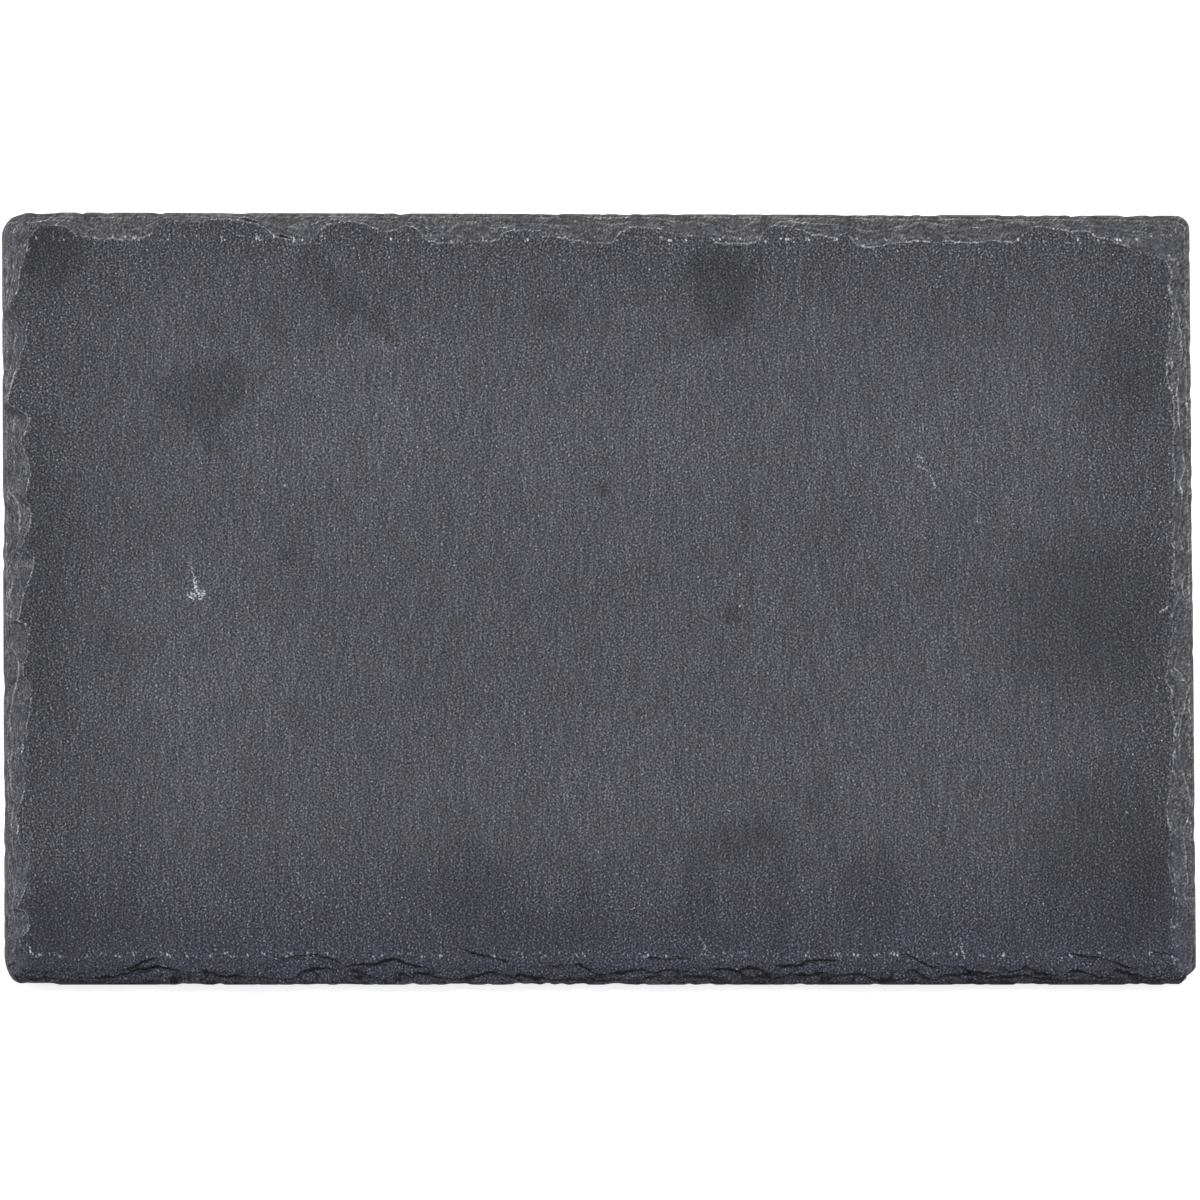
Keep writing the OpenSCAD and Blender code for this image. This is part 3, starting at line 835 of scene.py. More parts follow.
    def build(self) -> Object:
        """Makes the slab's mesh, with its marks as attributes and its layout for baking.

        Returns:
            The slab as a new object.
        """
        places = self.places()
        sheet = RingSheet(Vector((*self.middle, self.low.z)))
        rings, outer = self.upper_rings(places)
        for ring in rings:
            heights = self.upper_height(ring[:, 0], ring[:, 1])
            if ring is rings[0]:
                heights = np.minimum(heights, self.arris_height + self.rim_height)
            sheet.add_ring(ring, heights)
        inner = rings[-1]
        for number in range(1, self.face_rings + 1):
            if number <= self.halvings:
                inner = inner[::2]
            ring = inner * (1 - number / (self.face_rings + 1))
            sheet.add_ring(ring, self.upper_height(ring[:, 0], ring[:, 1]))
        sheet.close(self.upper_height(np.zeros(1), np.zeros(1)))
        self.add_underside(sheet, places, outer)
        slab = sheet.to_object("slate_slab_stone", self)
        triangles = sum(len(face.vertices) - 2 for face in slab.data.polygons)
        LOG.info("slab: %d points, %d triangles", len(slab.data.vertices), triangles)
        return slab

    def add_underside(self, sheet: "RingSheet", places: Array, outer: Array) -> None:
        """Adds the chipped lower arris and the riven underside to the sheet.

        Args:
            sheet: the slab's rings so far.
            places: places round the outline.
            outer: the outline that the upper and lower surfaces share.
        """
        along = np.arange(len(places)) * self.outline_spacing
        chips = np.clip(self.chips.at(along, along * 0), *self.chip_range)
        inset = self.arris_inset * (1 + self.chip_swing * chips)
        inner = self.outline(places, self.band_depth)
        way = (inner - outer) / self.band_depth
        sheet.start_underside()
        for fall, step in self.arris_profile:
            ring = outer + way * (inset * step)[:, None]
            sheet.add_ring(ring, np.full(len(ring), self.arris_height * (1 - fall)))
        for number in range(1, self.underside_rings + 1):
            if number <= self.halvings:
                outer, inset, way = outer[::2], inset[::2], way[::2]
            ring = (outer + way * inset[:, None]) * (1 - number / (self.underside_rings + 1))
            sheet.add_ring(ring, np.zeros(len(ring)))
        sheet.close(np.zeros(1))

    def marks(self, points: Array, upper: Array) -> dict[str, Array]:
        """Marks that the stone's material reads at each point of the mesh.

        Args:
            points: the mesh's points, from the slab's middle at its underside.
            upper: which points belong to the upper surface.

        Returns:
            Values for each mark, by name, with three to a point for the layers' edges. Distances to those and
            to the foot are in millimetres, so that they stay well inside what a mark holds.
        """
        x, y = points[:, 0], points[:, 1]
        far = self.mark_reach
        offsets, bold, _ = self.layer_breaks(x, y)
        under = np.where(points[:, 2] > self.above_underside, -far, far)
        breaks = np.where(upper, np.clip(offsets / MM, -far, far), under)
        gap = self.outline_distance(x, y)
        foot = np.clip((gap - self.foot_width(x, y)) / MM, -far, far)
        gaps = self.edge_distances(x, y)
        # Painted shade towards the edges
        tone = sum(np.interp(gaps[edge] / MM, *zip(*BORDER_SHADES[edge])) for edge in gaps)
        # Painted light on the front's right corner
        light = FRONT_PAINTED_LIGHT
        away_x, away_y = (x / MM - light.x) / light.half_x, (y / MM - light.y) / light.half_y
        tone = tone + light.shade * np.exp(-(away_x**2) - away_y**2)
        near = {edge: np.exp(-np.clip(gaps[edge], 0, None) / self.edge_reach) for edge in gaps}
        # Painted shade of each side's broken band
        band = sum(near[edge] * np.interp(gap / MM, *zip(*BAND_SHADES[edge])) for edge in gaps)
        for edge, (shade, reach) in BAND_GLOOM.items():
            band = band + near[edge] * shade * ease(1 - gaps[Edge.FRONT] / (reach * MM))
        return {
            "breaks": breaks.T,
            "bold": np.where(upper, bold, 0.0).T,
            "front": self.front_share(x, y),
            "foot": np.where(upper, foot, far),
            "relief": np.where(upper, self.relief(x, y), 0.0),
            "tone": np.where(upper, tone, 0.0),
            "band": np.where(upper, band / (sum(near.values()) + 1e-9), 0.0),
            "inset": gap,
        }


class RingSheet:
    """A closed skin of rings round one axis, first up and over the top, then down and under."""

    def __init__(self, origin: Vector) -> None:
        """Starts an empty skin, with its own origin at the given place."""
        self.points: list[Array] = []
        self.upper: list[Array] = []
        self.rings: list[Array] = []
        self.faces: list[Array] = []
        self.triangles: list[Array] = []
        self.count = 0
        self.on_top = True
        self.origin = np.array(origin)

    def _store(self, plan: Array, heights: Array) -> Array:
        """Stores points and returns their numbers."""
        self.points.append(np.column_stack([plan, heights]))
        self.upper.append(np.full(len(plan), self.on_top))
        numbers = np.arange(self.count, self.count + len(plan))
        self.count += len(plan)
        return numbers

    def _turned(self, corners: Array) -> Array:
        """Faces with their outside up on the upper surface, and down on the lower one."""
        return corners if self.on_top else corners[:, ::-1]

    def add_ring(self, plan: Array, heights: Array) -> None:
        """Adds a ring, with as many points as the ring before it or half as many.

        Args:
            plan: the ring's points seen from above.
            heights: their heights.
        """
        ring = self._store(plan, heights)
        if self.rings:
            last, after = self.rings[-1], np.roll(ring, -1)
            if len(last) == len(ring):
                self.faces.append(self._turned(np.column_stack([last, np.roll(last, -1), after, ring])))
            else:
                first, between, second = last[::2], last[1::2], np.roll(last[::2], -1)
                for corners in ((first, between, ring), (between, second, after), (between, after, ring)):
                    self.triangles.append(self._turned(np.column_stack(corners)))
        self.rings.append(ring)

    def close(self, height: Array) -> None:
        """Closes the last ring with a fan round the middle."""
        middle = self._store(np.zeros((1, 2)), height)
        last = self.rings[-1]
        fan = np.column_stack([last, np.roll(last, -1), np.repeat(middle, len(last))])
        self.triangles.append(self._turned(fan))

    def start_underside(self) -> None:
        """Goes on from the first ring, outwards to the underside."""
        self.rings = [self.rings[0]]
        self.on_top = False

    def to_object(self, name: str, slab: SlateSlab) -> Object:
        """Makes the object, its marks and its bake layout.

        Args:
            name: name of the object and its mesh.
            slab: the slab that says what marks its points carry.

        Returns:
            The new object, linked to the scene.
        """
        points = np.concatenate(self.points)
        upper = np.concatenate(self.upper)
        quads, triangles = np.concatenate(self.faces), np.concatenate(self.triangles)
        mesh = bpy.data.meshes.new(name)
        loops = np.concatenate([quads.ravel(), triangles.ravel()])
        sizes = np.concatenate([np.full(len(quads), 4), np.full(len(triangles), 3)])
        mesh.vertices.add(len(points))
        mesh.vertices.foreach_set("co", (points + self.origin).astype(np.float32).ravel())
        mesh.loops.add(len(loops))
        mesh.loops.foreach_set("vertex_index", loops.astype(np.int32))
        mesh.polygons.add(len(sizes))
        mesh.polygons.foreach_set("loop_start", (np.cumsum(sizes) - sizes).astype(np.int32))
        mesh.update(calc_edges=True)
        mesh.validate()
        for mark, values in slab.marks(points, upper).items():
            kind, entry = ("FLOAT", "value") if values.ndim == 1 else ("FLOAT_VECTOR", "vector")
            attribute = mesh.attributes.new(mark, kind, "POINT")
            attribute.data.foreach_set(entry, values.astype(np.float32).ravel())
        self._lay_out(mesh, points, slab)
        smooth_over(mesh, slab.sharp_angle)
        return link_object(name, mesh)

    @staticmethod
    def _lay_out(mesh: Mesh, points: Array, slab: SlateSlab) -> None:
        """Lays the upper surface over most of the bake, and the underside smaller above it.

        Args:
            mesh: the slab's mesh.
            points: its points, from the slab's middle.
            slab: the slab, for its size.
        """
        margin = 0.01
        corner_points = np.zeros(len(mesh.loops), np.int32)
        mesh.loops.foreach_get("vertex_index", corner_points)
        normals = np.zeros(len(mesh.polygons) * 3, np.float32)
        mesh.polygons.foreach_get("normal", normals)
        sizes = np.zeros(len(mesh.polygons), np.int32)
        mesh.polygons.foreach_get("loop_total", sizes)
        from_below = np.repeat(normals.reshape(-1, 3)[:, 2] < 0, sizes)
        plan = points[corner_points, :2] + [slab.half_length, slab.half_width]
        top_scale = (1 - 2 * margin) / (2 * slab.half_length)
        top = plan * top_scale + margin
        base = 2 * slab.half_width * top_scale + 2 * margin
        under_scale = (1 - base - margin) / (2 * slab.half_width)
        under = plan * under_scale + [margin, base]
        layout = mesh.uv_layers.new(name=BAKE_UV)
        layout.data.foreach_set("uv", np.where(from_below[:, None], under, top).astype(np.float32).ravel())


# Feet


@dataclass
class Lathe:
    """A round piece turned from an outline of radii and heights."""

    name: str
    outline: list[tuple[float, float]]
    centre: Vector
    segments: int = 96
    sharp_angle: float = 40.0

    def build(self) -> Object:
        """Turns the outline, which starts and ends on the axis, into a closed mesh.

        Returns:
            The new object, linked to the scene.
        """
        angles = 2 * math.pi * np.arange(self.segments) / self.segments
        points: list[tuple[float, float, float]] = []
        rows: list[list[int]] = []
        for radius, height in self.outline:
            turns = angles[:1] if radius < 1e-7 else angles
            rows.append(list(range(len(points), len(points) + len(turns))))
            points += [(self.centre.x + radius * math.cos(turn), self.centre.y + radius * math.sin(turn), height)
                       for turn in turns]
        faces: list[tuple[int, ...]] = []
        for low, high in zip(rows, rows[1:]):
            for step in range(self.segments):
                after = (step + 1) % self.segments
                if len(low) == 1:
                    faces.append((low[0], high[after], high[step]))
                elif len(high) == 1:
                    faces.append((low[step], low[after], high[0]))
                else:
                    faces.append((low[step], low[after], high[after], high[step]))
        mesh = bpy.data.meshes.new(self.name)
        mesh.from_pydata(points, [], faces)
        mesh.validate()
        smooth_over(mesh, self.sharp_angle)
        return link_object(self.name, mesh)


@dataclass
class FoamFoot:
    """A die-cut foam disc, pressed a little barrel-shaped, and its film of adhesive.

    Args:
        corner: the corner of the board that it stands under.
    """

    corner: Corner
    rim_round: float = 0.4 * MM
    wall_draw: float = 0.12 * MM
    film_bulge: float = 0.997
    face_rings: int = 8
    rim_steps: int = 6
    wall_steps: int = 8

    @property
    def pad_node(self) -> str:
        """Name of the foot's CAD node."""
        return f"foot_pad_{self.corner.node_suffix}"

    @property
    def film_node(self) -> str:
        """Name of the film's CAD node."""
        return f"adhesive_disc_{self.corner.node_suffix}"

    def build_pad(self) -> Object:
        """Makes the foam disc inside its CAD node's box."""
        low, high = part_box(self.pad_node)
        radius, top = (high.x - low.x) / 2, high.z
        flat = radius - self.rim_round
        outline = [(flat * step / self.face_rings, low.z) for step in range(self.face_rings + 1)]
        for step in range(1, self.rim_steps + 1):
            angle = math.pi / 2 * step / self.rim_steps
            height = low.z + self.rim_round * (1 - math.cos(angle))
            outline.append((flat + (self.rim_round - self.wall_draw) * math.sin(angle), height))
        wall_low = low.z + self.rim_round
        for step in range(1, self.wall_steps + 1):
            share = step / self.wall_steps
            swell = math.sin(math.pi * share) * self.wall_draw
            outline.append((radius - self.wall_draw + swell, wall_low + (top - wall_low) * share))
        outline += [((radius - self.wall_draw) * (1 - step / self.face_rings), top)
                    for step in range(1, self.face_rings + 1)]
        return Lathe(f"{self.pad_node}_foam", outline, (low + high) / 2).build()

    def build_film(self) -> Object:
        """Makes the adhesive film inside its CAD node's box."""
        low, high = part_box(self.film_node)
        radius = (high.x - low.x) / 2
        steps = range(self.face_rings + 1)
        outline = [(radius * step / self.face_rings, low.z) for step in steps]
        outline.append((radius * self.film_bulge, (low.z + high.z) / 2))
        outline += [(radius * (1 - step / self.face_rings), high.z) for step in steps]
        return Lathe(f"{self.film_node}_film", outline, (low + high) / 2).build()


# Node graphs


@dataclass(frozen=True)
class Noise:
    """How a noise looks: its features to a metre, how many finer layers it has, and how strong these are."""

    scale: float
    detail: float
    rough: float


@dataclass(frozen=True)
class Value:
    """A node's output, from which further nodes are made the way that sums are written."""

    graph: "Graph"
    socket: NodeSocket

    def __add__(self, other: object) -> "Value":
        """Sum with another value."""
        return self.graph.math("ADD", self, other)

    def __sub__(self, other: object) -> "Value":
        """What is left when another value is taken off."""
        return self.graph.math("SUBTRACT", self, other)

    def __rsub__(self, other: object) -> "Value":
        """What this value leaves of a number."""
        return self.graph.math("SUBTRACT", other, self)

    def __mul__(self, other: object) -> "Value":
        """Product with another value."""
        return self.graph.math("MULTIPLY", self, other)

    def __abs__(self) -> "Value":
        """Value without its sign."""
        return self.graph.math("ABSOLUTE", self)

    def larger(self, other: object) -> "Value":
        """The larger one of two values."""
        return self.graph.math("MAXIMUM", other, self)

    def spread(self, low: object, high: object, to_low: object = 0.0, to_high: object = 1.0) -> "Value":
        """Maps the value from one range to another, without going past its ends."""
        ends = {"From Min": low, "From Max": high, "To Min": to_low, "To Max": to_high}
        return self.graph.out(0, "MapRange", {"Value": self, **ends})

    def between(self, none: object, full: object) -> "Value":
        """Takes the value as a share from 0 to 1 of the way between two others."""
        return self.spread(0.0, 1.0, none, full)


class Graph:
    """Short hand for building a node tree."""

    def __init__(self, tree: NodeTree) -> None:
        """Wraps the tree that nodes are added to."""
        self.tree = tree

    def feed(self, socket: NodeSocket, value: object) -> None:
        """Links another node's output to an input, or gives the input a plain value."""
        if isinstance(value, Value):
            self.tree.links.new(value.socket, socket)
        else:
            socket.default_value = value

    def add(self, kind: str, inputs: Inputs | None = None, **settings: object) -> Node:
        """Adds a node.

        Args:
            kind: the node's type name without its ShaderNode prefix.
            inputs: values for its inputs, by name or number.
            settings: values for its properties.

        Returns:
            The new node.
        """
        node = self.tree.nodes.new(f"ShaderNode{kind}")
        for name, value in settings.items():
            setattr(node, name, value)
        for name, value in (inputs or {}).items():
            self.feed(node.inputs[name], value)
        return node

    def out(self, output: str | int, kind: str, inputs: Inputs | None = None, **settings: object) -> Value:
        """Adds a node, as add does, and returns the output with the given name or number."""
        return Value(self, self.add(kind, inputs, **settings).outputs[output])

    def named(self, node: Node) -> dict[str, Value]:
        """All the outputs of a node by their names."""
        return {socket.name: Value(self, socket) for socket in node.outputs}

    def math(self, operation: str, *values: object) -> Value:
        """Adds a Math node on the values."""
        return self.out(0, "Math", dict(enumerate(values)), operation=operation)

    def vector(self, operation: str, *values: object) -> Value:
        """Adds a Vector Math node on the values, which gives a number for a length or a dot product."""
        output = "Value" if operation in ("LENGTH", "DOT_PRODUCT") else "Vector"
        return self.out(output, "VectorMath", dict(enumerate(values)), operation=operation)

    def moved(self, place: object, stir: object, reach: Triple) -> Value:
        """Moves places along a stirring vector, with a reach along each axis."""
        return self.vector("ADD", place, self.vector("MULTIPLY", stir, reach))

    def axes(self, vector: object) -> list[Value]:
        """Splits a vector into its three values."""
        return list(self.named(self.add("SeparateXYZ", {0: vector})).values())

    def mix(self, share: object, first: object, second: object, blend: str = "MIX") -> Value:
        """Mixes two colours."""
        first, second = ((*colour, 1.0) if isinstance(colour, tuple) else colour for colour in (first, second))
        return self.out(2, "Mix", {0: share, 6: first, 7: second}, data_type="RGBA", blend_type=blend)

    def noise(self, vector: object, noise: Noise, output: str | int = 0) -> Value:
        """Adds a Noise Texture and returns its value, or its colour."""
        inputs = {"Vector": vector, "Scale": noise.scale, "Detail": noise.detail, "Roughness": noise.rough}
        return self.out(output, "TexNoise", inputs)

    def stirring(self, vector: object, noise: Noise, middle: Triple) -> Value:
        """Vector noise about a middle."""
        return self.vector("SUBTRACT", self.noise(vector, noise, "Color"), middle)

    def mark(self, name: str, output: str = "Fac") -> Value:
        """Reads a mark that the mesh carries, as a number or as a vector."""
        return self.out(output, "Attribute", attribute_name=name, attribute_type="GEOMETRY")

    def group(self, tree: NodeTree, inputs: Inputs) -> dict[str, Value]:
        """Places a node group and returns its outputs by name."""
        return self.named(self.add("Group", inputs, node_tree=tree))

    def grey(self, value: Value) -> Value:
        """Colour with the same value in each channel."""
        return self.out(0, "CombineColor", {channel: value for channel in range(3)})

    def bump(self, height: Value, strength: float) -> Value:
        """Normal of a surface with a height on it, in metres."""
        return self.out(0, "Bump", {"Strength": strength, "Distance": 1.0, "Height": height})


def start_material(name: str) -> tuple[Material, Graph, dict[str, NodeSocket]]:
    """Starts a material.

    Args:
        name: name of the material.

    Returns:
        The material, its graph and the inputs of its Principled BSDF.
    """
    material = bpy.data.materials.new(name)
    material.use_nodes = True
    return material, Graph(material.node_tree), material.node_tree.nodes["Principled BSDF"].inputs


@dataclass
class EffectGroups:
    """The node groups that several materials share, each built once."""

    grain_layers: Pair = (2.0, 0.65)
    riven_lean: Pair = (0.8, 0.6)
    riven_order: float = 0.12
    fleck_core: float = 0.5
    faintest_fleck: float = 0.3
    stroke_core: float = 0.4
    patch_reach: float = 1.25
    edge_line_rim: Pair = (-0.04, 0.05)
    edge_line_start: float = 0.3

    def __post_init__(self) -> None:
        """Builds all the groups."""
        self.grain = self._grain()
        self.rivening = self._rivening()
        self.flecks = self._flecks()
        self.stroke = self._stroke()
        self.patch = self._patch()
        self.edge_line = self._edge_line()

    @staticmethod
    def _start(name: str, vectors: tuple[str, ...], numbers: tuple[str, ...],
               outputs: tuple[str, ...]) -> tuple[Graph, list[Value], list[NodeSocket]]:
        """Starts a group with its sockets.

        Args:
            name: name of the group.
            vectors: names of its vector inputs.
            numbers: names of its float inputs, which follow them.
            outputs: names of its float outputs.

        Returns:
            The graph, its inputs and the sockets to link its outputs to.
        """
        tree = bpy.data.node_groups.new(name, "ShaderNodeTree")
        for kind, way, sockets in (("Vector", "INPUT", vectors), ("Float", "INPUT", numbers),
                                   ("Float", "OUTPUT", outputs)):
            for socket in sockets:
                tree.interface.new_socket(name=socket, in_out=way, socket_type=f"NodeSocket{kind}")
        graph, entry, ending = Graph(tree), tree.nodes.new("NodeGroupInput"), tree.nodes.new("NodeGroupOutput")
        given = [Value(graph, socket) for socket in entry.outputs[:len(vectors) + len(numbers)]]
        return graph, given, ending.inputs[:len(outputs)]

    @staticmethod
    def _finish(graph: Graph, ends: list[NodeSocket], *values: Value) -> NodeTree:
        """Links values to a group's outputs and returns the group."""
        for socket, value in zip(ends, values):
            graph.feed(socket, value)
        return graph.tree

    def _grain(self) -> NodeTree:
        """Soft grain stretched along one axis, with its own height."""
        graph, (vector, stretch, scale, contrast), ends = self._start(
            "stretched_grain", ("Vector", "Stretch"), ("Scale", "Contrast"), ("Shade", "Height"))
        laid = graph.vector("MULTIPLY", vector, stretch)
        height = graph.noise(laid, Noise(scale, *self.grain_layers))
        return self._finish(graph, ends, graph.math("EXPONENT", (height - 0.5) * contrast), height)

    def _rivening(self) -> NodeTree:
        """Fine worm-like grain of one width, as a split face of slate has."""
        graph, (vector, scale, frequency, contrast), ends = self._start(
            "riven_grain", ("Vector",), ("Scale", "Frequency", "Contrast"), ("Shade", "Height"))
        depth = graph.axes(vector)[2]
        lean = graph.out(0, "CombineXYZ", {axis: depth * share for axis, share in enumerate(self.riven_lean)})
        waves = graph.out(0, "TexGabor", {"Vector": graph.vector("ADD", vector, lean), "Scale": scale,
                                          "Frequency": frequency, "Anisotropy": self.riven_order, "Orientation": 0.0})
        return self._finish(graph, ends, graph.math("EXPONENT", (waves - 0.5) * contrast), waves)

    def _flecks(self) -> NodeTree:
        """Small scattered flecks of uneven strength, one in some of the cells of a loose grid."""
        graph, (vector, stretch, scale, radius, share), ends = self._start(
            "scattered_flecks", ("Vector", "Stretch"), ("Scale", "Radius", "Share"), ("Mask",))
        laid = graph.vector("MULTIPLY", vector, stretch)
        cells = graph.named(graph.add("TexVoronoi", {"Vector": laid, "Scale": scale}, feature="F1"))
        near = cells["Distance"].spread(radius, radius * self.fleck_core)
        chance, other, _ = graph.named(graph.add("SeparateColor", {"Color": cells["Color"]})).values()
        chosen = graph.math("LESS_THAN", chance, share)
        strength = graph.math("MULTIPLY_ADD", other, 1.0 - self.faintest_fleck, self.faintest_fleck)
        return self._finish(graph, ends, near * chosen * strength)

    def _stroke(self) -> NodeTree:
        """A straight pale line between two points, soft at its sides."""
        graph, (vector, start, end, half_width), ends = self._start(
            "scratch_stroke", ("Vector", "Start", "End"), ("Half Width",), ("Mask",))
        way, here = graph.vector("SUBTRACT", end, start), graph.vector("SUBTRACT", vector, start)
        share = graph.math("DIVIDE", *(graph.vector("DOT_PRODUCT", one, way) for one in (here, way)))
        share = graph.out(0, "Clamp", {"Value": share})
        foot = graph.out(0, "VectorMath", {0: way, "Scale": share}, operation="SCALE")
        off = graph.vector("LENGTH", graph.vector("SUBTRACT", here, foot))
        return self._finish(graph, ends, off.spread(half_width, half_width * self.stroke_core))

    def _patch(self) -> NodeTree:
        """An oval patch with an even middle and a soft rim."""
        graph, (vector, middle, size, turn, core, shade), ends = self._start(
            "soft_patch", ("Vector", "Middle", "Size", "Turn"), ("Core", "Shade"), ("Shade",))
        laid = graph.out(0, "Mapping", {"Vector": vector, "Location": middle, "Rotation": turn, "Scale": size},
                         vector_type="TEXTURE")
        near = graph.out(0, "MapRange", {"Value": graph.vector("LENGTH", laid), "From Min": self.patch_reach,
                                         "From Max": core, "To Min": 0.0, "To Max": shade},
                         interpolation_type="SMOOTHSTEP")
        return self._finish(graph, ends, near)

    def _edge_line(self) -> NodeTree:
        """A ragged line along a layer's edge, as wide as the edge is bold: the mask of the painted highlights and
        painted shadows along the layers.
        """
        graph, (offset, bold, width), ends = self._start("layer_edge_line", (), ("Offset", "Bold", "Width"), ("Mask",))
        inside = bold * width - abs(offset)
        return self._finish(graph, ends, inside.spread(*self.edge_line_rim) * bold.spread(0.0, self.edge_line_start))


class StoneGraph(Graph):
    """The stone's graph, with values that say where in it each place lies, and how broken it is there."""

    def __init__(self, tree: NodeTree, groups: EffectGroups, finish: "SlateFinish") -> None:
        """Reads the mesh's marks and works out the masks.

        Args:
            tree: the material's node tree.
            groups: the shared node groups.
            finish: the stone's finish, for its sizes.
        """
        super().__init__(tree)
        self.groups = groups
        self.place = self.out("Object", "TexCoord")
        self.x, self.y, _ = self.axes(self.place)
        self.front, self.relief, self.inset, self.tone, self.band, self.foot = (
            self.mark(name) for name in ("front", "relief", "inset", "tone", "band", "foot"))
        self.stir = self.stirring(self.place, finish.stir, (0.5, 0.5, 0.5))
        self.ragged = self.axes(self.stir)[0]
        breaks, self.bold = (self.axes(self.mark(name, "Vector")) for name in ("breaks", "bold"))
        self.offsets = [offset + self.ragged for offset in breaks]
        soft = self.bold[2].between(finish.soft_rim, finish.sharp_rim)
        self.broken = self.offsets[2].spread(soft, soft * -1.0)
        self.side = 1.0 - self.front
        self.banded = self.broken * self.side
        self.rough = self.broken * self.front.between(1.0, finish.front_rough)
        laid = self.out(0, "CombineXYZ", {0: self.offsets[1] * finish.strata_across,
                                          1: self.x * finish.strata_along, 2: self.y * finish.strata_along})
        self.strata = self.noise(laid, finish.strata)


